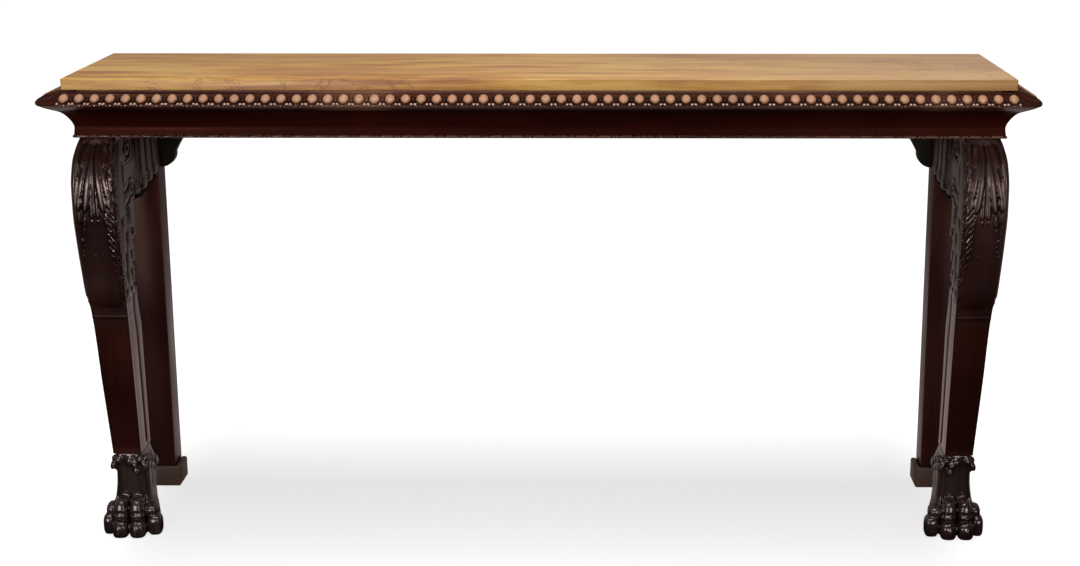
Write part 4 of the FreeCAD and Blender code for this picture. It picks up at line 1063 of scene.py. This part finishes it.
def build_front_legs():
    """Both carved front legs, with their stumps inside the frame."""
    cut = settings().leg.leaf_depth / MM
    rows = leg_rows()
    last = len(rows) - 1

    def place(i, j):
        face, part = face_and_share(i, LEG_CELLS)
        z = rows[np.minimum(j, last)]
        x0, x1 = through(INNER_KNOTS, z), through(OUTER_KNOTS, z)
        y0, y1 = through(FRONT_KNOTS, z), through(REAR_KNOTS, z)
        x, y = round_box(face, part, x0, x1, y0, y1, SIDE_CROWDING)
        half = (x1 - x0) / 2
        lateral = x - (x0 + x1) / 2
        from_arris = np.where((face == 1) | (face == 3), y - y0, 0)
        # Arrises eased, and the way outward there
        carved = smoothstep(CARVING_FOOT, LEAF_FOOT, z)
        radius = np.where(y < (y0 + y1) / 2, 3.0 + 4.5 * carved, 4.0)
        cx, cy = np.clip(x, x0 + radius, x1 - radius), np.clip(y, y0 + radius, y1 - radius)
        nx, ny = x - cx, y - cy
        size = np.maximum(np.hypot(nx, ny), 1e-6)
        nx, ny = nx / size, ny / size
        # The front of the knee is crowned.
        crown = 4.5 * carved * np.clip(np.abs(lateral) / half, 0, 1) ** 2
        x = cx + nx * radius
        y = cy + ny * radius + crown * np.where(face == 0, 1, smoothstep(30, 0, from_arris))
        height = leg_carving(face, lateral, half, from_arris, y, z, y0, y1, cut)
        body = np.stack([x + nx * height, FRONT_Y + y + ny * height, z], -1)
        # The stump: the same columns on a plain rectangle
        stump_x, stump_y = round_box(face, part, *STUMP, SIDE_CROWDING)
        stump_z = np.where(j == last + 1, FRAME_FOOT, SEAT)
        stump = np.stack([stump_x, stump_y, stump_z], -1)
        return np.where((j > last)[:, None], stump, body)

    leg = shaped_grid("leg_right", sum(LEG_CELLS), last + 2, place)
    mark_relief(leg, 36, 1.8)
    smooth(leg, 60)
    dress_pair(leg, "carving", "front_leg")


# ---------------------------------------------------------------------------------------------
# Wings behind the knees


WING_X = (792.0, 861.0)
WING_START, WING_END = 150.0, 300.0
WING_DEPTH = 7.0  # depth of the ground between the flutes
FACE_CELLS, EDGE_CELLS = 70, 20
WING_CELLS = (FACE_CELLS, EDGE_CELLS, FACE_CELLS, 6)  # inner face, lower edge, outer face, top


def wing_foot(y):
    """Lower edge of the wing at a distance behind the marble's front."""
    arc = bend((WING_START, 655), (205, 664), (282, 674), 24)
    corner = bend((282, 674), (294.6, 679.4), (WING_END, 692), 8)
    path = np.concatenate([arc, corner[1:]])
    return np.interp(y, path[:, 0], path[:, 1])


def build_wings():
    """Carved wings under the side rails."""
    x0, x1 = WING_X
    y_rows = WING_START + (WING_END - WING_START) * np.concatenate(
        [np.linspace(0, 0.88, 62), 0.88 + 0.12 * np.linspace(0, 1, 13)[1:] ** 0.7])

    def place(i, j):
        face, part = face_and_share(i, WING_CELLS)
        y = y_rows[j]
        foot = wing_foot(y)
        # The front end is let in behind the leg's inner face.
        inner = x0 + 10 * smoothstep(170, 153, y)
        z, x = round_box(face, part, FRAME_FOOT, foot, inner, x1)
        above = z - foot
        # Flutes fan back from the leg; each ends in a round lobe above the lower edge.
        course = (y - 164 - 0.06 * (FRAME_FOOT - z)) / 47
        flute = in_turns(course, 0.36) ** 0.6
        lobe_end = 6 + 18 * (1 - flute)
        body = smoothstep(lobe_end - 2.5, lobe_end + 2.5, above)
        vein = 1.2 * dome((course - np.floor(course) - 0.52) / 0.1)
        bulge = 1 + 0.3 * dome((above - 20) / 13)
        carve = -WING_DEPTH + body * (WING_DEPTH * flute * bulge - vein)
        rounded = -WING_DEPTH - 7.0 * (1 - dome(1 - above / 9))
        carve = np.where(above < 9, rounded, carve) * smoothstep(FRAME_FOOT, FRAME_FOOT - 5, z)
        # The lower edge is drawn in to meet the rounded faces.
        inset = np.where(face == 1, 2.0 * (1 - 2 * part), 0)
        x = np.select([face == 0, face == 2], [x - carve, x + carve], x)
        return np.stack([x + inset, FRONT_Y + y, z], -1)

    wing = shaped_grid("wing_right", sum(WING_CELLS), len(y_rows) - 1, place)
    mark_relief(wing, 40, 1.8)
    smooth(wing, 60)
    dress_pair(wing, "carving", "knee_wing")


# ---------------------------------------------------------------------------------------------
# Paw feet


ANKLE_X = 823.25
ANKLE_FRONT, ANKLE_BACK = 44.0, 128.0
ANKLE_Y = FRONT_Y + (ANKLE_FRONT + ANKLE_BACK) / 2
ANKLE_HALF = (27.25, 42.0)  # half width and half depth where the shank stands on it
ANKLE_LEVELS = [  # height, reach to the inner side and to the outer, front, back
    (0, 48, 46, 28, 134), (4, 49.5, 47, 26, 136), (20, 49.5, 46, 26, 136),
    (42, 47.5, 41, 30, 133), (54, 44.5, 37.5, 35, 131), (66, 42, 33.5, 43.5, 129),
    (76, 39, 31, 46, 127.5), (90, 37, 28, 46, 125), (105, 36.5, 26.8, 46, 122),
    (122, 36.5, 26.6, 46, 123), (139, 36, 27, 45, 127), (150, 31.5, 27.2, 44, 128),
    (PAW_TOP, ANKLE_HALF[0], ANKLE_HALF[0], ANKLE_FRONT, ANKLE_BACK)]
FRONT_TUFTS = [  # sideways to the inner side, height, half width, half height
    (-18, 150, 7.5, 8), (4, 148, 8, 10), (24, 151, 7, 7.5), (17, 129, 6.5, 8),
    (14, 140, 6, 9), (-28, 141, 6, 11), (33, 141, 6, 11)]
SIDE_TUFTS = [  # the same, with the distance behind the ankle's middle for sideways
    (-33, 149, 8, 8.5), (-15, 144, 9, 10), (7, 136, 9, 10), (28, 127, 8, 11),
    (40, 117, 7, 11), (-25, 131, 6, 8), (-4, 124, 6, 8), (17, 114, 6, 8)]


def ball(middle, size, turn=(0, 0, 0), square=1.0):
    """One stretched ball at its place; size holds its half axes in millimetres, and square
    under 1 fills it out toward a block."""
    deselect()
    bpy.ops.mesh.primitive_uv_sphere_add(segments=28, ring_count=16, radius=1)
    obj = bpy.context.object
    points = corners(obj.data)
    move_corners(obj.data, np.sign(points) * np.abs(points) ** square)
    obj.location = tuple(np.array(middle) * MM)
    obj.rotation_euler = turn
    obj.scale = tuple(np.array(size) * MM)
    settle(obj)
    return obj


def ankle_block():
    """Ankle, instep and heel as one rounded loft."""
    knots = [[(level[0], level[k]) for level in ANKLE_LEVELS] for k in (1, 2, 3, 4)]
    around, rows = 96, 60

    def place(i, j):
        z = PAW_TOP * j / rows
        inner, outer, front, back = (through(k, z) for k in knots)
        turn = math.tau * i / around
        # A squircle between a box and an ellipse
        power = 0.36 + 0.3 * smoothstep(90, 20, z)
        cx, cy = np.cos(turn), np.sin(turn)
        x = np.sign(cx) * np.abs(cx) ** power * np.where(cx > 0, outer, inner)
        y = (front + back) / 2 + np.sign(cy) * np.abs(cy) ** power * (back - front) / 2
        # The heel is narrower than the toes.
        heel = smoothstep(80, 136, y) * smoothstep(95, 30, z)
        return np.stack([ANKLE_X + x * (1 - 0.34 * heel), FRONT_Y + y, z], -1)

    return shaped_grid("ankle_loft", around, rows, place)


def toe(x, lean, tip_y, width):
    """A middle toe: square pad with its claw, a narrow band, and knuckles that lean back."""
    front = FRONT_Y + tip_y
    return [ball((x, front + 19, 15.5), (width, 19, 20), square=0.76),
            ball((x - 0.5 * lean, front + 24, 43), (width - 2, 17, 7), square=0.85),
            ball((x - lean, front + 27, 55), (width - 1, 17, 9.5), square=0.88),
            ball((x - 1.7 * lean, front + 34, 68), (width - 3, 16, 8.5), square=0.9),
            ball((x - lean, front + 32, 38), (width - 1.5, 19, 38), (0.2, 0, 0), square=0.8),
            ball((x + 1.5, front + 4.5, 21), (6.0, 6.5, 15), (-0.27, 0, 0))]


def side_toe(x, lean, tip_y, width):
    """An outer toe: a tall square pad under one low knuckle."""
    front = FRONT_Y + tip_y
    return [ball((x, front + 18, 19), (width, 18, 22), square=0.62),
            ball((x - lean, front + 25, 46), (width - 0.5, 18, 15), (0.15, 0, 0), square=0.75),
            ball((x, front + 3.5, 20), (3.0, 4.0, 12), (0.12, 0, 0))]


def collar_tufts():
    """Ragged tufts of hair that hang round the top of the ankle."""
    made = []
    for turned in (-1, 1):
        for across, height, wide, tall in FRONT_TUFTS:
            drape = 8 + 8 * turned
            made.append(ball((ANKLE_X - across, ANKLE_Y + turned * ANKLE_HALF[1], height - drape),
                             (wide, 6.5, tall), (0.15 * turned, 0.012 * across, 0)))
        half = 34.0 if turned < 0 else 27.5
        for across, height, wide, tall in SIDE_TUFTS:
            made.append(ball((ANKLE_X + half * turned, ANKLE_Y + across, height),
                             (6.0, wide, tall), (0.012 * across, 0.15 * turned, 0)))
    return made


def build_paws():
    """Paw feet: knuckled toes, ankle and collar, fused and carved."""
    parts = [ankle_block()]
    parts += toe(ANKLE_X - 19.4, -1.6, -1, 17.0) + toe(ANKLE_X + 14.6, 1.6, -1, 17.0)
    parts += side_toe(ANKLE_X - 50.5, -7.0, 17, 14.0) + side_toe(ANKLE_X + 41.0, 5.0, 21, 11.5)
    parts += collar_tufts()
    pick(*parts)
    bpy.ops.object.join()
    paw = named("paw_right")
    grain = settings().leg.paw_grain
    apply_modifier(paw, "REMESH", mode="VOXEL", voxel_size=grain, adaptivity=0.0)
    apply_modifier(paw, "SMOOTH", factor=0.5, iterations=8)
    carve_paw(paw)
    mark_relief(paw, 18, 1.8)
    smooth(paw)
    dress_pair(paw, "paw", "paw_foot")


def carve_paw(paw):
    """Grooves between the toes, tendons up the ankle, and flat ends."""
    points, normals = corners(paw.data) / MM, directions(paw.data)
    x, y, z = (points - (ANKLE_X, FRONT_Y, 0)).T
    front = smoothstep(0.1, 0.5, -normals[:, 1])
    side = smoothstep(0.3, 0.7, np.abs(normals[:, 0]))
    height = np.zeros(len(points))
    for line, lean in ((-2.4, 0.0), (31.0, 0.09), (-36.5, -0.12)):
        height -= 2.8 * dome((x - line + lean * z) / 2.4) * smoothstep(84, 66, z) * front
    below_collar = smoothstep(136, 122, z)
    for line in (9, -14):
        height += 0.7 * dome((x - line) / 7) * smoothstep(70, 95, z) * below_collar * front
    for line in (66, 92, 112):
        slant = line + 0.1 * (z - 100)
        height += 1.2 * dome((y - slant) / 9) * smoothstep(66, 95, z) * below_collar * side
    points = points + normals * height[:, None]
    # Flat on the floor below, and inside the shank's outline above
    points[:, 2] = np.clip(points[:, 2], 0, PAW_TOP)
    spare = 15 * (1 - smoothstep(157, PAW_TOP, points[:, 2])) - 1
    high = points[:, 2] > 150
    for axis, middle, half in ((0, ANKLE_X, ANKLE_HALF[0]), (1, ANKLE_Y, ANKLE_HALF[1])):
        held = np.clip(points[:, axis], middle - half - spare, middle + half + spare)
        points[high, axis] = held[high]
    move_corners(paw.data, points * MM)


# ---------------------------------------------------------------------------------------------
# Back legs, brackets, marble


def build_back_legs():
    """Plain square back legs with softened arrises."""
    post = block("back_post_right", "back_leg_right")
    soften(post, 2.0)
    dress_pair(post, "post", "back_leg")


def build_plinths():
    """Plinth strips round the back feet: blocks with a sloped and softened top arris."""
    for part, outward in (("front", (0, -1, 0)), ("inner", (-1, 0, 0)), ("outer", (1, 0, 0))):
        strip = block(f"plinth_{part}_board_right", f"plinth_{part}_right")
        middle = Vector(corners(strip.data).mean(0))
        for edge in strip.data.edges:
            ends = [strip.data.vertices[k].co - middle for k in edge.vertices]
            edge.select = all(end.z > 0 and end.dot(Vector(outward)) > 0 for end in ends)
        bpy.ops.object.mode_set(mode="EDIT")
        bpy.ops.mesh.select_mode(type="EDGE")
        bpy.ops.mesh.bevel(offset=3 * MM, segments=1, affect="EDGES")
        bpy.ops.mesh.select_mode(type="VERT")
        bpy.ops.object.mode_set(mode="OBJECT")
        soften(strip, 0.9, 2)
        dress_pair(strip, "plinth", f"plinth_{part}")


BRACKET_FRONT, BRACKET_BACK = 174.0, 198.0
BRACKET_OUTER = 795.0  # against the back leg


def build_brackets():
    """Shaped brackets under the back rail."""
    upper = bend((705, FRAME_FOOT), (738.4, 761.4), (766, 716), 16)
    lower = bend((766, 716), (775.7, 691.3), (BRACKET_OUTER, 684), 10)
    outline = np.concatenate([upper, lower[1:], [(BRACKET_OUTER, FRAME_FOOT)]])
    deselect()
    bpy.ops.mesh.primitive_circle_add(vertices=len(outline), radius=1, fill_type="NGON")
    bracket = named("bracket_right")
    front = np.insert(outline, 1, BRACKET_FRONT, axis=1)
    move_corners(bracket.data, front * MM)
    bpy.ops.object.mode_set(mode="EDIT")
    bpy.ops.mesh.select_all(action="SELECT")
    bpy.ops.mesh.extrude_region_move(
        TRANSFORM_OT_translate={"value": (0, (BRACKET_BACK - BRACKET_FRONT) * MM, 0)})
    outward_faces()
    bpy.ops.object.mode_set(mode="OBJECT")
    settle(bracket)
    soften(bracket, 1.2, 2)
    dress_pair(bracket, "bracket_shade", "back_bracket")


def build_marble():
    """The marble slab, with a rounded and slightly worn arris."""
    slab = block("marble_slab", "marble_top")
    soften(slab, 2.2, 4)
    dress(slab, "marble", "marble_top")


FRAME_TIMBER = {
    "pine": ("front_rail", "back_rail"),
    "pine_cross": ("side_rail_left", "side_rail_right", "bearer_left", "bearer_middle",
                   "bearer_right"),
    "pine_upright": ("glue_blocks_front_left", "glue_blocks_front_right",
                     "glue_blocks_back_left", "glue_blocks_back_right"),
    "oak": ("tenon_pegs", "foot_dowel_left", "foot_dowel_right", "wing_dowels",
            "bracket_dowels"),
    "iron": ("bearer_screws",),
}


def dress_frame():
    """Bare timber, pegs and screws of the frame keep their CAD shapes and get their finish."""
    for finish, names in FRAME_TIMBER.items():
        for name in names:
            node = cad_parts[name]
            if not node.material_slots:
                raise RuntimeError(f"{name} has no material slot")
            for material_slot in node.material_slots:
                material_slot.material = finishes[finish]


# ---------------------------------------------------------------------------------------------
# Studio


def studio_paper(values):
    """Matt white paper: white to the eye outside the table's shadow, and dim in the polish
    except close behind the table."""
    made, tree, shader, place = blank_material("studio_paper_matt", {
        "Roughness": 0.9, "Specular IOR Level": 0.0})
    axes = add(tree, "SeparateXYZ", {"Vector": place}).outputs
    paths = add(tree, "LightPath").outputs
    eye, gloss = paths["Is Camera Ray"], paths["Is Glossy Ray"]
    dim = add(tree, "Mix", {"Factor": gloss}, {"A": "#6B6866", "B": "#2A2422"}, data_type="RGBA")
    paper = add(tree, "Mix", {"Factor": eye, "A": dim}, {"B": [*values.floor_colour, 1.0]},
                data_type="RGBA")
    # To the eye the paper is lifted toward white outside the table's own shadow.
    reach = add(tree, "VectorMath", {0: place}, operation="ABSOLUTE")
    beyond = add(tree, "VectorMath", {0: reach}, {1: (0.72, 0.1, 0.0)}, operation="SUBTRACT")
    outside = add(tree, "VectorMath", {0: beyond}, operation="MAXIMUM")
    steep = add(tree, "VectorMath", {0: outside}, {1: (3.2, 1.0, 1.0)}, operation="MULTIPLY")
    far = add(tree, "VectorMath", {0: steep}, operation="LENGTH")
    lift = add(tree, "MapRange", {"Value": far},
               {"From Min": 0.0, "From Max": 0.9, "To Min": values.floor_lift, "To Max": 1.0},
               interpolation_type="SMOOTHSTEP")
    seen = add(tree, "Math", {0: eye, 1: lift}, operation="MULTIPLY")
    # Polished wood mirrors the lit paper close behind the table, and a dim room elsewhere.
    behind = add(tree, "MapRange", {"Value": axes["Y"]}, {"From Min": -0.1, "From Max": 0.4},
                 interpolation_type="SMOOTHSTEP")
    lit = add(tree, "MapRange", {"Value": axes["Y"]},
              {"From Min": 1.0, "From Max": 3.4, "To Min": values.floor_mirror,
               "To Max": 0.4 * values.floor_mirror}, interpolation_type="SMOOTHSTEP")
    pool = add(tree, "Math", {0: behind, 1: lit}, operation="MULTIPLY")
    mirrored = add(tree, "Math", {0: pool, 1: gloss}, operation="MULTIPLY")
    strength = add(tree, "Math", {0: seen, 1: mirrored}, operation="ADD")
    hue = add(tree, "Mix", {"Factor": eye}, {"A": values.shine_tint, "B": "#FFFFFF"},
              data_type="RGBA")
    glow = add(tree, "Emission", {"Strength": strength, "Color": hue})
    both = add(tree, "AddShader", {0: shader, 1: glow})
    wire(tree, shader, {"Base Color": paper})
    wire(tree, tree.nodes["Material Output"], {"Surface": both})
    return made


def studio_world():
    """White to the eye; to the table, bright behind and beside it and a dim room in front."""
    world = bpy.data.worlds.new("studio_world")
    world.use_nodes = True
    tree = world.node_tree
    direction = add(tree, "TexCoord").outputs["Generated"]
    axes = add(tree, "SeparateXYZ", {"Vector": direction}).outputs
    behind = add(tree, "MapRange", {"Value": axes["Y"]},
                 {"From Min": -0.4, "From Max": 0.5, "To Min": 0.08, "To Max": 0.3})
    background = tree.nodes["Background"]
    wire(tree, background, {"Strength": behind}, {"Color": "#FFEDE7"})
    white = add(tree, "Background", {}, {"Color": "#FFFFFF", "Strength": 1.0})
    eye = add(tree, "LightPath").outputs["Is Camera Ray"]
    mixed = add(tree, "MixShader", {"Fac": eye, 1: background, 2: white})
    wire(tree, tree.nodes["World Output"], {"Surface": mixed})
    return world


def softbox(name, place, target, size, radiance, tint=None):
    """A softbox that lights matt surfaces or, with a tint, one that only polish mirrors."""
    lamp = bpy.data.lights.new(name, "AREA")
    lamp.shape = "RECTANGLE"
    lamp.size, lamp.size_y = size
    lamp.energy = radiance * math.pi * size[0] * size[1]
    if tint:
        lamp.color = linear(tint)[:3]
    obj = bpy.data.objects.new(name, lamp)
    obj.location = place
    heading = Vector(target) - Vector(place)
    obj.rotation_euler = heading.to_track_quat("-Z", "Y").to_euler()
    obj.visible_diffuse = not tint
    obj.visible_glossy = bool(tint)
    bpy.context.scene.collection.objects.link(obj)


def build_studio():
    """Floor, world, lamps and camera."""
    values = settings().studio
    scene = bpy.context.scene
    deselect()
    bpy.ops.mesh.primitive_plane_add(size=60)
    floor = named("studio_floor")
    floor.data.materials.append(studio_paper(values))
    scene.world = studio_world()

    tint = values.shine_tint
    softbox("top_softbox", (0.0, -0.35, 3.3), (0.0, -0.1, 0.9), (2.6, 1.6), values.top_radiance)
    softbox("front_softbox", (0.0, -3.3, 1.3), (0.0, 0.0, 0.7), (3.2, 1.2),
            values.front_radiance)
    softbox("key_shine", (-0.1, -1.6, 3.2), (0.0, 0.0, 0.8), (2.0, 1.3), values.key_shine, tint)
    for side, word in ((-1, "left"), (1, "right")):
        softbox(f"high_{word}_shine", (-0.4 + 1.2 * side, -1.7, 3.6), (0.0, -0.1, 0.1),
                (0.6, 0.6), values.high_shine, tint)
        softbox(f"low_{word}_shine", (1.72 * side, -3.4, 0.55), (0.84 * side, -0.2, 0.6),
                (1.2, 0.54), values.low_shine * (0.88 - 0.2 * side), tint)

    camera = bpy.data.cameras.new("studio_camera")
    camera.lens = values.lens
    camera.sensor_width = 36
    camera.shift_x = values.shift_x
    viewer = bpy.data.objects.new("studio_camera", camera)
    viewer.location = values.camera_place
    viewer.rotation_euler = values.camera_turn
    scene.collection.objects.link(viewer)
    scene.camera = viewer
    scene.view_settings.view_transform = "Standard"


# ---------------------------------------------------------------------------------------------
# Operators, panel and registration


class TABLE_OT_finishes(bpy.types.Operator):
    """Make the finishes of timber, marble and iron"""

    bl_idname = "pier_table.finishes"
    bl_label = "Finishes"

    def execute(self, context):
        make_finishes()
        return {"FINISHED"}


class TABLE_OT_studio(bpy.types.Operator):
    """Add floor, lamps, world and camera"""

    bl_idname = "pier_table.studio"
    bl_label = "Studio"

    def execute(self, context):
        build_studio()
        return {"FINISHED"}


class TABLE_OT_marble(bpy.types.Operator):
    """Add the marble slab"""

    bl_idname = "pier_table.marble"
    bl_label = "Marble slab"

    def execute(self, context):
        build_marble()
        return {"FINISHED"}


class TABLE_OT_edge(bpy.types.Operator):
    """Add the egg-and-dart edge"""

    bl_idname = "pier_table.edge"
    bl_label = "Egg-and-dart edge"

    def execute(self, context):
        build_edge()
        return {"FINISHED"}


class TABLE_OT_frieze(bpy.types.Operator):
    """Add the hollow frieze boards"""

    bl_idname = "pier_table.frieze"
    bl_label = "Frieze"

    def execute(self, context):
        build_frieze()
        return {"FINISHED"}


class TABLE_OT_beads(bpy.types.Operator):
    """Add the carved beads under the frieze"""

    bl_idname = "pier_table.beads"
    bl_label = "Beads"

    def execute(self, context):
        build_beads()
        return {"FINISHED"}


class TABLE_OT_front_legs(bpy.types.Operator):
    """Add the carved front legs"""

    bl_idname = "pier_table.front_legs"
    bl_label = "Front legs"

    def execute(self, context):
        build_front_legs()
        return {"FINISHED"}


class TABLE_OT_wings(bpy.types.Operator):
    """Add the carved wings behind the knees"""

    bl_idname = "pier_table.wings"
    bl_label = "Knee wings"

    def execute(self, context):
        build_wings()
        return {"FINISHED"}


class TABLE_OT_paws(bpy.types.Operator):
    """Add the paw feet"""

    bl_idname = "pier_table.paws"
    bl_label = "Paw feet"

    def execute(self, context):
        build_paws()
        return {"FINISHED"}


class TABLE_OT_back_legs(bpy.types.Operator):
    """Add the back legs, their plinths and their brackets"""

    bl_idname = "pier_table.back_legs"
    bl_label = "Back legs"

    def execute(self, context):
        build_back_legs()
        build_plinths()
        build_brackets()
        return {"FINISHED"}


class TABLE_OT_frame(bpy.types.Operator):
    """Give the frame's rails, bearers, blocks, pegs and screws their finish"""

    bl_idname = "pier_table.frame"
    bl_label = "Frame timber"

    def execute(self, context):
        dress_frame()
        return {"FINISHED"}


STEPS = (TABLE_OT_finishes, TABLE_OT_studio, TABLE_OT_marble, TABLE_OT_edge, TABLE_OT_frieze,
         TABLE_OT_beads, TABLE_OT_front_legs, TABLE_OT_wings, TABLE_OT_paws, TABLE_OT_back_legs,
         TABLE_OT_frame)


class TABLE_PT_panel(bpy.types.Panel):
    """The table's pieces in the order they are made"""

    bl_idname = "TABLE_PT_panel"
    bl_label = "Pier table"
    bl_space_type = "VIEW_3D"
    bl_region_type = "UI"
    bl_category = "Pier Table"

    def draw(self, context):
        for step in STEPS:
            self.layout.operator(step.bl_idname)


CLASSES = (StudioSettings, MouldingSettings, LegSettings, TableSettings) + STEPS + (
    TABLE_PT_panel,)


def register():
    """Classes and settings made known to Blender."""
    for cls in CLASSES:
        bpy.utils.register_class(cls)
    bpy.types.Scene.pier_table = bpy.props.PointerProperty(type=TableSettings)


def unregister():
    """Classes and settings taken away again."""
    del bpy.types.Scene.pier_table
    for cls in reversed(CLASSES):
        bpy.utils.unregister_class(cls)


def main():
    """Settings made known to Blender, then all pieces in order."""
    register()
    for step in STEPS:
        group, name = step.bl_idname.split(".")
        getattr(getattr(bpy.ops, group), name)()


if __name__ == "__main__":
    main()
